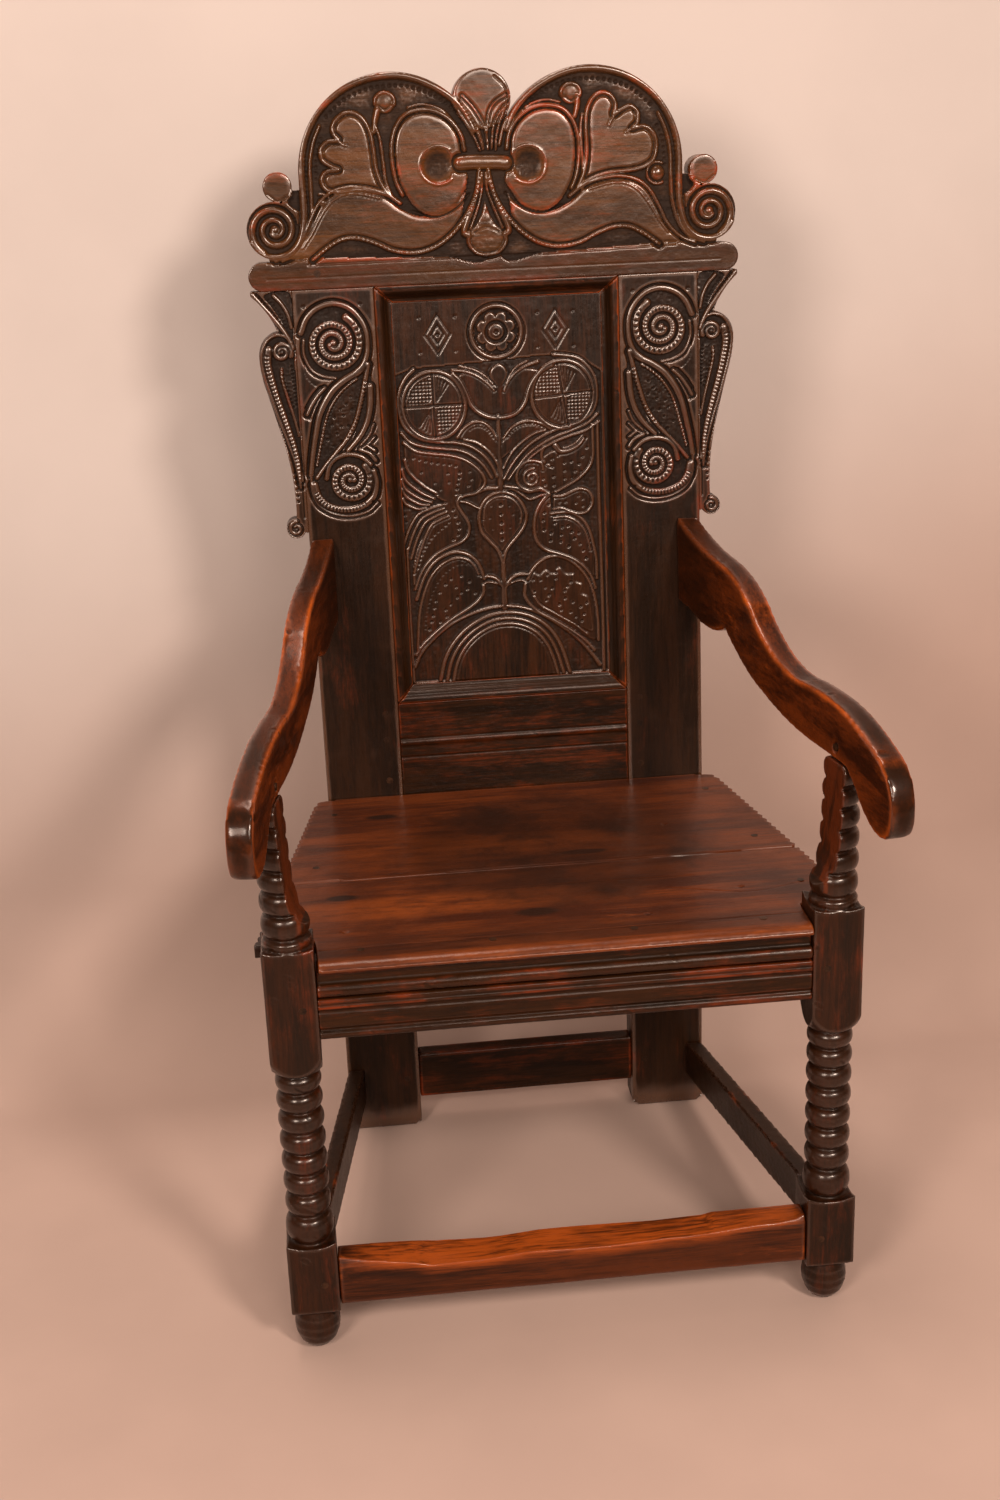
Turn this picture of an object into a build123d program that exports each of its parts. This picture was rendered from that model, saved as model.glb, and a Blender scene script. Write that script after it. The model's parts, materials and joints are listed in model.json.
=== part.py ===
"""A joined wainscot armchair: raked back posts, carved-panel frame, turned front posts, splayed arms.

Millimetres. X runs across the chair, -Y is its front, +Z is up. The origin is on the floor, in the
middle of the chair's width and depth. "Left" and "right" are as seen from the front.
"""
from build123d import *
import math
import os

os.makedirs("parts", exist_ok=True)

# ---------------------------------------------------------------- driving sizes
seat_height = 450.0        # floor to the top of the seat boards
seat_depth = 437.5         # front of the front posts to the front of the back posts
front_post_x = 271.0       # chair's middle to a front post's axis
back_outer = 224.5         # chair's middle to a back post's outer edge
back_post_width = 89.0
back_post_thick = 44.0
back_rise = 592.0          # seat bend to the crest rail's underside, along the rake
rake_slope = 0.0422        # how far the back leans for each unit it rises
rake_drop = 5.5            # seat's top to the bend where the back starts to lean

block = 51.4               # the front posts' square stock
fit = 0.2                  # clearance round every tenon
peg_fit = 0.1              # clearance round every peg and dowel
end_gap = 2.0              # space left past the end of a tenon or dowel
peg_radius = 4.0
peg_sides = 8              # pegs are riven and shaved, not turned
tenon_thick = 8.0
tenon_long = 30.0
tenon_shoulder = 8.0       # how much lower a tenon is than its rail, above and below
tenon_space = 5.4          # wood left in a post between two tenons that meet at right angles

# ---------------------------------------------------------------- the back, along its rake
crest_lean = 2.0           # the crest rail's face stands this far in front of the posts
crest_thick = 34.0
crest_band = 30.0          # height of the plain band at the crest rail's foot
lunette_inset = 16.0       # back post's outer edge to the side of a lunette
lunette_part = 5.5         # chair's middle to the side of a lunette
lunette_rise = 118.5       # crest rail's underside to a lunette's centre
knob_x = -8.0              # the knob between the lunettes stands a little off the middle
knob_rise = 189.5
knob_radius = 31.0
scroll_out = 13.5          # back post's outer edge to the middle of an end scroll
scroll_rise = 63.0
scroll_radius = 30.0
ear_knob_out = 7.5
ear_knob_rise = 108.0
ear_knob_radius = 15.5

panel_recess = 12.0        # posts' face to the panel's face
panel_thick = 14.0
panel_tongue = 7.0
groove_depth = 10.0
panel_play = 0.5           # room for the panel to swell in its grooves
moulding_width = 19.5
moulding_high = 13.0

back_rail_top = 117.5      # seat bend to the top of the rail below the panel
back_rail_drop = 8.0       # how far that rail reaches below the bend
back_rail_thick = 30.0
back_rail_inset = 1.0

ear_thick = 24.0
ear_flare = 45.0           # the bracket's width under the crest rail
ear_drop = 273.0           # crest rail's underside to the foot of the bracket
ear_dowel_radius = 3.0
ear_dowel_half = 12.0

# ---------------------------------------------------------------- seat and rails
seat_thick = 14.0
seat_nosing = 4.0          # how far the front edge stands in front of the posts
seat_front_board = 196.0   # front of the posts to the joint between the two boards
seat_joint_gap = 0.6
seat_rear_overhang = 16.5  # how far the boards reach past the back posts, and past the front ones
seat_front_overhang = 8.0
notch_gap = 0.8

front_rail_depth = 71.0    # height of the front seat rail
front_rail_thick = 30.0
front_rail_inset = 10.0
apron_height = 44.0
apron_gap = 2.0            # the open line between the rail's bead and the apron moulding
bead_height = 12.5
bead_drop = 11.5           # seat's underside to the top of the rail's bead

side_rail_depth = 60.0
side_rail_thick = 26.0
rear_rail_depth = 59.0
rear_rail_thick = 26.0
rear_rail_drop = 19.0      # seat's top to the top of the rear rail
rear_inset = 4.0           # rails between the back posts lie this far behind the posts' face

# ---------------------------------------------------------------- stretchers
front_stretcher_lift = 5.8   # underside of the foot block to the underside of the stretcher
front_stretcher_depth = 56.0
front_stretcher_thick = 26.0
front_stretcher_inset = 3.5
rear_stretcher_bottom = 38.0
rear_stretcher_depth = 60.0
rear_stretcher_thick = 24.0
side_stretcher_depth = 45.0
side_stretcher_thick = 20.5
side_stretcher_front = 77.0
side_stretcher_rear = 42.0

# ---------------------------------------------------------------- front posts
foot_height = 51.2
foot_radius = 24.2
foot_toe = 5.5             # radius of the worn flat that stands on the floor
foot_block_above = 13.2    # how far the foot block stands above the side stretcher
seat_block_below = 40.5    # how far the seat block reaches below the front rail
seat_block_above = 16.0    # how far the seat block stands above the seat
ring_count = 8
ring_radius = 22.6
ring_valley = 16.5
ring_bevel = 0.3           # share of a ring's height taken by each of its bevels
bobbin_count = 6
bobbin_radius = 24.5
bobbin_valley = 18.5

# ---------------------------------------------------------------- arms
arm_support = 161.0        # seat's top to the top of the front post, where the arm rests
arm_rise = 153.0           # that height to the arm's top edge at the back post
arm_thick = 27.0
arm_inset = 2.6            # the arm's inner face passes this far inside the front post's axis
arm_overhang = 121.0       # front post's axis to the end of the hand, along the arm
arm_rear_edge = 26.5       # back post's outer edge to the arm's inner face
arm_tenon_thick = 10.0
arm_tenon_high = 80.0
arm_tenon_long = 28.0
post_tenon_wide = 30.0
post_tenon_high = 27.0

# ---------------------------------------------------------------- worked-out places
rake = math.atan(rake_slope)
back_inner = back_outer - back_post_width
block_inner = front_post_x - block / 2
block_outer = front_post_x + block / 2
seat_under = seat_height - seat_thick
rake_height = seat_height - rake_drop
rear_rail_top = seat_height - rear_rail_drop
arm_seat = seat_height + arm_support

leg_top = seat_under - front_rail_depth - seat_block_below
seat_block_top = seat_height + seat_block_above
foot_block_top = side_stretcher_front + side_stretcher_depth + foot_block_above
front_stretcher_bottom = foot_height + front_stretcher_lift
seat_back_half = back_outer + seat_rear_overhang
seat_front_half = block_outer + seat_front_overhang

lunette_radius = (back_outer - lunette_inset - lunette_part) / 2
lunette_x = lunette_part + lunette_radius
scroll_x = back_outer + scroll_out
ear_knob_x = back_outer + ear_knob_out
crest_band_end = back_outer + ear_flare + 0.5 - crest_band / 2     # middle of its rounded end

arm_spread = (front_post_x - arm_inset) - (back_outer - arm_rear_edge)
arm_axis_run = seat_depth - block / 2
splay = math.atan(arm_spread / arm_axis_run)
arm_run = arm_axis_run / math.cos(splay)

hand_front = (arm_run + arm_overhang) * math.cos(splay)
back_reach = back_rise * math.sin(rake) + back_post_thick * math.cos(rake)
post_face = (hand_front - back_reach) / 2          # Y of the back posts' front face
front_face = post_face - seat_depth                # Y of the front posts' front face
post_axis = front_face + block / 2

back_face = Plane(
    origin=(0, post_face, rake_height),
    x_dir=(1, 0, 0),
    z_dir=(0, -math.cos(rake), math.sin(rake)),
)
arm_face = Plane(
    origin=(back_outer - arm_rear_edge, post_face, 0),
    x_dir=(math.sin(splay), -math.cos(splay), 0),
    z_dir=(-math.cos(splay), -math.sin(splay), 0),
)


# ---------------------------------------------------------------- shared shapes
def middle(span):
    return (span[0] + span[1]) / 2


def length(span):
    return span[1] - span[0]


def widen(span, by):
    return (span[0] - by, span[1] + by)


def level_box(x, y, z, mode=Mode.ADD):
    """A box between two planes along each axis."""
    with Locations((middle(x), middle(y), middle(z))):
        Box(length(x), length(y), length(z), mode=mode)


def raked_box(x, up, behind, mode=Mode.ADD):
    """A box in the raked back: across, up the rake from the bend, and behind the posts' face."""
    with BuildSketch(back_face.offset(-behind[0])) as outline:
        with Locations((middle(x), middle(up))):
            Rectangle(length(x), length(up))
    extrude(outline.sketch, amount=-length(behind), mode=mode)


def peg_along(axis_plane, spot, reach, radius=peg_radius, mode=Mode.ADD):
    """A shaved peg: drawn at a spot on a plane and driven from that plane for its reach."""
    with BuildSketch(axis_plane) as outline:
        with Locations(spot):
            RegularPolygon(radius, peg_sides)
    extrude(outline.sketch, amount=reach, mode=mode)


def peg_hole(axis_plane, spot, reach, radius=peg_radius):
    peg_along(axis_plane, spot, reach, radius + peg_fit, Mode.SUBTRACT)


def save(piece, name):
    piece.part.label = name
    export_step(piece.part, f"parts/{name}.step")


# ---------------------------------------------------------------- joints of the frame
# Each tenon is three spans. Its rail adds them, and the post's mortise widens them by the fit.
front_tenon_y = (front_face + 10, front_face + 10 + tenon_thick)
front_tenon_x = (block_inner, block_inner + tenon_long)
front_rail_z = (seat_under - front_rail_depth, seat_under)
front_rail_tenon_z = widen(front_rail_z, -2 * tenon_shoulder)
front_stretcher_z = (front_stretcher_bottom, front_stretcher_bottom + front_stretcher_depth)
front_stretcher_tenon_z = widen(front_stretcher_z, -tenon_shoulder)

rear_tenon_x = (back_inner, back_inner + tenon_long)
rear_tenon_y = (post_face + 12, post_face + 12 + tenon_thick)
rear_rail_z = (rear_rail_top - rear_rail_depth, rear_rail_top)
rear_rail_tenon_z = widen(rear_rail_z, -tenon_shoulder)
rear_stretcher_z = (rear_stretcher_bottom, rear_stretcher_bottom + rear_stretcher_depth)
rear_stretcher_tenon_z = widen(rear_stretcher_z, -tenon_shoulder)

side_tenon_front_y = (front_tenon_y[1] + tenon_space, front_face + block)
side_tenon_rear_y = (post_face, post_face + 28)
side_rail_z = (seat_under - side_rail_depth, seat_under)
side_rail_tenon_z = widen(side_rail_z, -tenon_shoulder)

back_rail_tenon_up = (12.0, back_rail_top - 2)
back_rail_tenon_behind = (12.0, 12.0 + tenon_thick)
crest_tenon_x = (back_inner + 14.5, back_outer - 14.5)
crest_tenon_up = (back_rise, back_rise + 45)
crest_tenon_behind = (10.0, 22.0)
groove_behind = (panel_recess + 3, panel_recess + 3 + panel_tongue)


def side_x_front(thick):
    """Across-chair span of a side rail or stretcher where it meets the front post."""
    inner = front_post_x - 15
    return (inner, inner + thick)


def side_x_rear(thick):
    """Across-chair span of a side rail or stretcher where it meets the back post."""
    return (back_outer - 1 - thick, back_outer - 1)


def side_tenon_x(span):
    return (middle(span) - tenon_thick / 2, middle(span) + tenon_thick / 2)


stretcher_front_x = side_x_front(side_stretcher_thick)
stretcher_rear_x = side_x_rear(side_stretcher_thick)
rail_front_x = side_x_front(side_rail_thick)
rail_rear_x = side_x_rear(side_rail_thick)
stretcher_front_z = (side_stretcher_front, side_stretcher_front + side_stretcher_depth)
stretcher_rear_z = (side_stretcher_rear, side_stretcher_rear + side_stretcher_depth)
stretcher_tenon_front_z = widen(stretcher_front_z, -tenon_shoulder)
stretcher_tenon_rear_z = widen(stretcher_rear_z, -tenon_shoulder)

arm_tenon_x = (back_outer - 21.5, back_outer - 21.5 + arm_tenon_thick)
arm_top_up = arm_seat + arm_rise - rake_height
arm_tenon_up = (arm_top_up - 12 - arm_tenon_high, arm_top_up - 12)
arm_tenon_behind = (0.0, arm_tenon_long)

post_top = Plane(
    origin=(front_post_x, post_axis, arm_seat),
    x_dir=(math.cos(splay), math.sin(splay), 0),
    z_dir=(0, 0, 1),
)
post_tenon_out = arm_thick / 2 - arm_inset * math.cos(splay)   # post's axis to the arm's middle

# Pegs: a plane, a spot on it, and how far the peg goes in.
front_peg_plane = Plane.XZ.offset(-front_face)
rear_peg_plane = Plane.XZ.offset(-post_face)
side_peg_front_plane = Plane.YZ.offset(block_outer)
side_peg_rear_plane = Plane.YZ.offset(back_outer)
front_peg_x = block_inner + tenon_long / 2
rear_peg_x = back_inner + tenon_long / 2
front_peg_reach = -21.0
side_peg_reach = -42.0
side_peg_rear_reach = -back_post_width / 3
side_peg_front_y = side_tenon_front_y[0] + 14
side_peg_rear_y = post_face + 14
crest_peg_spot = (back_outer - 29, back_rise + 16.5)
back_rail_peg_spots = [(rear_peg_x, back_rail_top - 12), (rear_peg_x, 74.0), (rear_peg_x, 24.0)]
arm_peg_spot = (post_face + 14 + rake_slope * (arm_top_up - 50), arm_seat + arm_rise - 50)
arm_post_peg_spot = (arm_run, arm_seat + 14)
ear_dowel_ups = (back_rise - 27, back_rise - ear_drop + 108)
ear_dowel_places = [back_face.from_local_coords((0, up, -ear_thick / 2)) for up in ear_dowel_ups]
ear_dowel_spots = [(place.Y, place.Z) for place in ear_dowel_places]


def side_rail_x(y):
    """The middle of the right side rail at a distance along it."""
    share = (y - front_face - block) / (post_face - front_face - block)
    return middle(rail_front_x) + share * (middle(rail_rear_x) - middle(rail_front_x))


# Pegs that hold the seat boards down on the front rail and on the side rails
board_joint = front_face + seat_front_board
seat_top_plane = Plane.XY.offset(seat_height)
seat_peg_reach = -(seat_thick + 20)
front_seat_peg_x = (block_inner - 175, block_inner - 45)
front_seat_peg_y = front_face + front_rail_inset + front_rail_thick / 2
front_rail_seat_pegs = [(side * x, front_seat_peg_y) for side in (-1, 1) for x in front_seat_peg_x]
front_board_side_peg = (side_rail_x(front_face + 110), front_face + 110)
rear_board_side_pegs = [(side_rail_x(y), y) for y in (board_joint + 40, post_face - 50)]
side_rail_seat_pegs = [front_board_side_peg, *rear_board_side_pegs]


# ---------------------------------------------------------------- back posts
with BuildPart() as right_back_post:
    bend_back = rake_height - back_post_thick * math.tan(rake / 2)
    top_front = back_face.from_local_coords((0, back_rise, 0))
    top_back = back_face.from_local_coords((0, back_rise, -back_post_thick))
    with BuildSketch(Plane.YZ.offset(back_inner)):
        with BuildLine():
            Polyline(
                (post_face, 0),
                (post_face, rake_height),
                (top_front.Y, top_front.Z),
                (top_back.Y, top_back.Z),
                (post_face + back_post_thick, bend_back),
                (post_face + back_post_thick, 0),
                close=True,
            )
        make_face()
    extrude(amount=back_post_width)
    fillet(right_back_post.edges().filter_by(Axis.Y).group_by(Axis.Z)[0], radius=7)
    raked_box(crest_tenon_x, crest_tenon_up, crest_tenon_behind)
    peg_hole(back_face.offset(crest_lean), crest_peg_spot, -crest_thick)
    # The groove that holds the panel's edge, open at the top
    raked_box(
        (back_inner - 1, back_inner + groove_depth),
        (back_rail_top - groove_depth, back_rise + 1),
        widen(groove_behind, fit),
        Mode.SUBTRACT,
    )
    # Mortises for the rails between the posts
    for tenon_z in (rear_rail_tenon_z, rear_stretcher_tenon_z):
        level_box(
            (back_inner - 1, rear_tenon_x[1] + end_gap),
            widen(rear_tenon_y, fit),
            widen(tenon_z, fit),
            Mode.SUBTRACT,
        )
        peg_hole(rear_peg_plane, (rear_peg_x, middle(tenon_z)), -back_post_thick)
    raked_box(
        (back_inner - 1, rear_tenon_x[1] + end_gap),
        widen(back_rail_tenon_up, fit),
        widen(back_rail_tenon_behind, fit),
        Mode.SUBTRACT,
    )
    for spot in back_rail_peg_spots:
        peg_hole(back_face, spot, -back_post_thick)
    # Mortises for the side rail, the side stretcher and the arm
    for span_x, tenon_z in ((rail_rear_x, side_rail_tenon_z), (stretcher_rear_x, stretcher_tenon_rear_z)):
        level_box(
            widen(side_tenon_x(span_x), fit),
            (post_face - 1, side_tenon_rear_y[1] + end_gap),
            widen(tenon_z, fit),
            Mode.SUBTRACT,
        )
        peg_hole(side_peg_rear_plane, (side_peg_rear_y, middle(tenon_z)), side_peg_rear_reach)
    raked_box(
        widen(arm_tenon_x, fit),
        widen(arm_tenon_up, fit),
        (-1.0, arm_tenon_long + end_gap),
        Mode.SUBTRACT,
    )
    peg_hole(side_peg_rear_plane, arm_peg_spot, side_peg_rear_reach)
    # Blind holes for the ear bracket's dowels
    for spot in ear_dowel_spots:
        peg_hole(side_peg_rear_plane, spot, -(ear_dowel_half + end_gap), ear_dowel_radius)

with BuildPart() as left_back_post:
    mirror(right_back_post.part, about=Plane.YZ)

# ---------------------------------------------------------------- crest rail
with BuildPart() as crest_rail:
    with BuildSketch(back_face.offset(crest_lean)) as crest_outline:
        with Locations((0, back_rise + crest_band / 2)):
            Rectangle(2 * crest_band_end, crest_band)
        with Locations(*[(side * crest_band_end, back_rise + crest_band / 2) for side in (-1, 1)]):
            Circle(crest_band / 2)
        with Locations((0, back_rise + lunette_rise / 2)):
            Rectangle(2 * (lunette_x + lunette_radius), lunette_rise)
        with Locations(*[(side * lunette_x, back_rise + lunette_rise) for side in (-1, 1)]):
            Circle(lunette_radius)
        with Locations((knob_x, back_rise + knob_rise)):
            Circle(knob_radius)
        with Locations(*[(side * scroll_x, back_rise + scroll_rise) for side in (-1, 1)]):
            Circle(scroll_radius)
        with Locations(*[(side * ear_knob_x, back_rise + ear_knob_rise) for side in (-1, 1)]):
            Circle(ear_knob_radius)
        # The throat under the knob, between the lunettes
        throat_top = knob_rise - 14.5
        with Locations((knob_x, back_rise + throat_top / 2)):
            Rectangle(2 * knob_radius - 8, throat_top)
        # The webs that tie each scroll and its knob to the lunette's foot
        lunette_foot = lunette_x + lunette_radius - 5
        for web_x, web_rise in (
            ((lunette_foot, ear_knob_x - 4), (scroll_rise, ear_knob_rise - 4)),
            ((lunette_foot, scroll_x + 8), (crest_band - 1, scroll_rise)),
        ):
            with Locations(*[(side * middle(web_x), back_rise + middle(web_rise)) for side in (-1, 1)]):
                Rectangle(length(web_x), length(web_rise))
    extrude(amount=-crest_thick)
    for side in (-1, 1):
        tenon_x = widen((side * crest_tenon_x[0], side * crest_tenon_x[1]), side * fit)
        raked_box(
            (min(tenon_x), max(tenon_x)),
            (back_rise - 1, crest_tenon_up[1] + end_gap),
            widen(crest_tenon_behind, fit),
            Mode.SUBTRACT,
        )
        peg_hole(back_face.offset(crest_lean), (side * crest_peg_spot[0], crest_peg_spot[1]), -crest_thick)
    raked_box(
        (-back_inner - groove_depth, back_inner + groove_depth),
        (back_rise - 1, back_rise + groove_depth),
        widen(groove_behind, fit),
        Mode.SUBTRACT,
    )

# ---------------------------------------------------------------- ear brackets
with BuildPart() as right_ear_bracket:
    curl_radius = 11.0
    curl_x = back_outer + 13.5
    curl_up = back_rise - ear_drop + curl_radius
    with BuildSketch(back_face):
        with BuildLine():
            Line((back_outer, curl_up), (back_outer, back_rise))
            Line((back_outer, back_rise), (back_outer + ear_flare, back_rise))
            Line((back_outer + ear_flare, back_rise), (back_outer + ear_flare, back_rise - 5))
            # the concave flare under the crest
            ThreePointArc(
                (back_outer + ear_flare, back_rise - 5),
                (back_outer + 27, back_rise - 26),
                (back_outer + 18.5, back_rise - 44),
            )
            # the scroll's bulge and the long taper below it
            ThreePointArc(
                (back_outer + 18.5, back_rise - 44),
                (back_outer + 34.5, back_rise - 53),
                (back_outer + 40.5, back_rise - 72),
            )
            ThreePointArc(
                (back_outer + 40.5, back_rise - 72),
                (back_outer + 39, back_rise - 91),
                (back_outer + 34.5, back_rise - 110),
            )
            Line((back_outer + 34.5, back_rise - 110), (back_outer + 20, back_rise - 166))
            ThreePointArc(
                (back_outer + 20, back_rise - 166),
                (back_outer + 13.5, back_rise - 204),
                (curl_x - 1, curl_up),
            )
            Line((curl_x - 1, curl_up), (back_outer, curl_up))
        make_face()
        with Locations((curl_x, curl_up)):
            Circle(curl_radius)
        with Locations((back_outer + 5, curl_up)):
            Rectangle(10, 2 * curl_radius - 6)
    extrude(amount=-ear_thick)
    for spot in ear_dowel_spots:
        peg_hole(side_peg_rear_plane, spot, ear_dowel_half + end_gap, ear_dowel_radius)

with BuildPart() as left_ear_bracket:
    mirror(right_ear_bracket.part, about=Plane.YZ)

# ---------------------------------------------------------------- back panel
with BuildPart() as back_panel:
    tongue_half = back_inner + groove_depth - panel_play
    tongue_up = (back_rail_top - groove_depth + panel_play, back_rise + groove_depth - panel_play)
    raked_box((-tongue_half, tongue_half), tongue_up, groove_behind)
    raked_box(
        (-back_inner + panel_play, back_inner - panel_play),
        (back_rail_top + panel_play, back_rise - panel_play),
        (panel_recess, panel_recess + panel_thick),
    )


# ---------------------------------------------------------------- panel mouldings
across_plane = Plane(
    origin=back_face.from_local_coords((-back_inner, 0, 0)),
    x_dir=back_face.y_dir,
    z_dir=(1, 0, 0),
)
upright_plane = Plane(
    origin=back_face.from_local_coords((0, back_rail_top, 0)),
    x_dir=(1, 0, 0),
    z_dir=-back_face.y_dir,
)
opening_height = back_rise - back_rail_top


def moulding_section(edge, inward):
    """A strip's section: from the frame's edge inward, and out from the panel's face."""

    def at(across, high):
        return (edge + inward * across, high - panel_recess)

    with BuildLine() as section:
        Polyline(at(10.5, moulding_high - 5), at(10.5, moulding_high - 6.5), at(12.5, moulding_high - 6.5))
        ThreePointArc(at(12.5, moulding_high - 6.5), at(14, moulding_high - 9.5), at(17.5, 2))
        Polyline(at(17.5, 2), at(moulding_width, 2), at(moulding_width, 0), at(0, 0))
        Polyline(at(0, 0), at(0, moulding_high), at(3, moulding_high))
        ThreePointArc(at(3, moulding_high), at(8, moulding_high - 1.5), at(10.5, moulding_high - 5))
    make_face(section.edges())


def mitred(outer_start, outer_end, inner_end, inner_start):
    """Keep only what lies over the strip's own four-cornered outline on the panel."""
    with BuildSketch(back_face.offset(-panel_recess)) as outline:
        with BuildLine():
            Polyline(outer_start, outer_end, inner_end, inner_start, close=True)
        make_face()
    extrude(outline.sketch, amount=moulding_high, mode=Mode.INTERSECT)


inner_half = back_inner - moulding_width
inner_low = back_rail_top + moulding_width
inner_high = back_rise - moulding_width

with BuildPart() as panel_moulding_top:
    with BuildSketch(across_plane):
        moulding_section(back_rise, -1)
    extrude(amount=2 * back_inner)
    mitred(
        (-back_inner, back_rise), (back_inner, back_rise),
        (inner_half, inner_high), (-inner_half, inner_high),
    )

with BuildPart() as panel_moulding_bottom:
    with BuildSketch(across_plane):
        moulding_section(back_rail_top, 1)
    extrude(amount=2 * back_inner)
    mitred(
        (-back_inner, back_rail_top), (back_inner, back_rail_top),
        (inner_half, inner_low), (-inner_half, inner_low),
    )

with BuildPart() as panel_moulding_right:
    with BuildSketch(upright_plane):
        moulding_section(back_inner, -1)
    extrude(amount=-opening_height)
    mitred(
        (back_inner, back_rail_top), (back_inner, back_rise),
        (inner_half, inner_high), (inner_half, inner_low),
    )

with BuildPart() as panel_moulding_left:
    mirror(panel_moulding_right.part, about=Plane.YZ)

# ---------------------------------------------------------------- rail below the panel
with BuildPart() as panel_bottom_rail:
    bead_top = back_rail_top - 44      # a bead between two quirks, and a third groove lower down
    bead_foot = bead_top - 10
    groove_up = bead_foot - 13
    quirk = 1.6
    face = -back_rail_inset
    with BuildSketch(across_plane):
        with BuildLine():
            Polyline(
                (back_rail_top, -back_rail_thick), (back_rail_top, face),
                (bead_top + quirk, face), (bead_top + quirk, face - 2.5), (bead_top, face - 2.5),
            )
            bead_crown = (middle((bead_foot, bead_top)), face + 1)
            ThreePointArc((bead_top, face - 2.5), bead_crown, (bead_foot, face - 2.5))
            Polyline(
                (bead_foot, face - 2.5), (bead_foot - quirk, face - 2.5), (bead_foot - quirk, face - 1),
                (groove_up + quirk, face - 1), (groove_up, face - 3), (groove_up - quirk, face - 1),
                (-back_rail_drop, face - 1), (-back_rail_drop, -back_rail_thick),
                (back_rail_top, -back_rail_thick),
            )
        make_face()
    extrude(amount=2 * back_inner)
    raked_box(
        (-back_inner - 1, back_inner + 1),
        (back_rail_top - groove_depth, back_rail_top + 1),
        widen(groove_behind, fit),
        Mode.SUBTRACT,
    )
    raked_box((-rear_tenon_x[1], rear_tenon_x[1]), back_rail_tenon_up, back_rail_tenon_behind)
    raked_box(
        (-rear_tenon_x[1] - 1, rear_tenon_x[1] + 1),
        (back_rail_top - groove_depth, back_rail_top + 1),
        widen(groove_behind, fit),
        Mode.SUBTRACT,
    )
    for x, up in back_rail_peg_spots:
        for side in (-1, 1):
            peg_hole(back_face, (side * x, up), -back_post_thick)

# ---------------------------------------------------------------- rails and stretchers
def rail_with_tenons(x_half, y, z, tenon_x_end, tenon_y, tenon_z):
    """A straight rail across the chair with a tenon on each end."""
    level_box((-x_half, x_half), y, z)
    level_box((-tenon_x_end, tenon_x_end), tenon_y, tenon_z)


def splayed_rail(front_x, rear_x, front_z, rear_z, front_tenon_z, rear_tenon_z):
    """A side rail: lofted between its two shoulders, with a straight tenon on each end."""
    shoulders = []
    for y, x, z in ((front_face + block, front_x, front_z), (post_face, rear_x, rear_z)):
        with BuildSketch(Plane.XZ.offset(-y)) as shoulder:
            with Locations((middle(x), middle(z))):
                Rectangle(length(x), length(z))
        shoulders.append(shoulder.sketch.face())
    loft(shoulders)
    level_box(side_tenon_x(front_x), side_tenon_front_y, front_tenon_z)
    level_box(side_tenon_x(rear_x), side_tenon_rear_y, rear_tenon_z)
    peg_hole(side_peg_front_plane, (side_peg_front_y, middle(front_tenon_z)), side_peg_reach)
    peg_hole(side_peg_rear_plane, (side_peg_rear_y, middle(rear_tenon_z)), side_peg_rear_reach)


with BuildPart() as front_seat_rail:
    rail_face = front_face + front_rail_inset
    rail_back = rail_face + front_rail_thick
    rail_foot, rail_top = front_rail_z
    bead_top = rail_top - bead_drop
    bead_foot = bead_top - bead_height
    with BuildSketch(Plane.YZ.offset(-block_inner)):
        with BuildLine():
            Polyline(
                (rail_back, rail_foot), (rail_back, rail_top), (rail_face - 2, rail_top),
                (rail_face - 2, bead_top), (front_face + 4, bead_top),
            )
            ThreePointArc(
                (front_face + 4, bead_top), (front_face + 0.8, bead_top - 4), (front_face + 2.5, bead_foot)
            )
            Polyline(
                (front_face + 2.5, bead_foot), (rail_face, bead_foot), (rail_face, rail_foot),
                (rail_back, rail_foot),
            )
        make_face()
    extrude(amount=2 * block_inner)
    level_box((-front_tenon_x[1], front_tenon_x[1]), front_tenon_y, front_rail_tenon_z)
    for side in (-1, 1):
        peg_hole(front_peg_plane, (side * front_peg_x, middle(front_rail_tenon_z)), front_peg_reach)
    for spot in front_rail_seat_pegs:
        peg_hole(seat_top_plane, spot, seat_peg_reach)

with BuildPart() as front_apron_moulding:
    top = bead_foot - apron_gap
    foot = top - apron_height
    face = front_face + 1.0
    # fillet and small bead at the top, a wide flat between two quirks, and a bead at the foot
    with BuildSketch(Plane.YZ.offset(-block_inner)):
        with BuildLine():
            Polyline(
                (rail_face, foot), (rail_face, top), (face + 1.5, top), (face, top - 1.5),
                (face, top - 4.5), (face + 1.5, top - 4.5), (face + 1.5, top - 6.5),
            )
            ThreePointArc((face + 1.5, top - 6.5), (face + 0.1, top - 9), (face + 1.5, top - 11.5))
            Polyline(
                (face + 1.5, top - 11.5), (face + 3, top - 13), (face + 3, top - 15),
                (face + 1.5, top - 16.5), (face + 1.5, top - 31), (face + 3.5, top - 33),
                (face + 3.5, top - 34.5),
            )
            ThreePointArc((face + 3.5, top - 34.5), (face, top - 39), (face + 3.0, foot))
            Line((face + 3.0, foot), (rail_face, foot))
        make_face()
    extrude(amount=2 * block_inner)

with BuildPart() as rear_seat_rail:
    rail_with_tenons(
        back_inner, (post_face + rear_inset, post_face + rear_inset + rear_rail_thick), rear_rail_z,
        rear_tenon_x[1], rear_tenon_y, rear_rail_tenon_z,
    )
    for side in (-1, 1):
        peg_hole(rear_peg_plane, (side * rear_peg_x, middle(rear_rail_tenon_z)), -back_post_thick)

with BuildPart() as right_seat_rail:
    splayed_rail(
        rail_front_x, rail_rear_x, side_rail_z, side_rail_z, side_rail_tenon_z, side_rail_tenon_z
    )
    for spot in side_rail_seat_pegs:
        peg_hole(seat_top_plane, spot, seat_peg_reach)

with BuildPart() as left_seat_rail:
    mirror(right_seat_rail.part, about=Plane.YZ)

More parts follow.
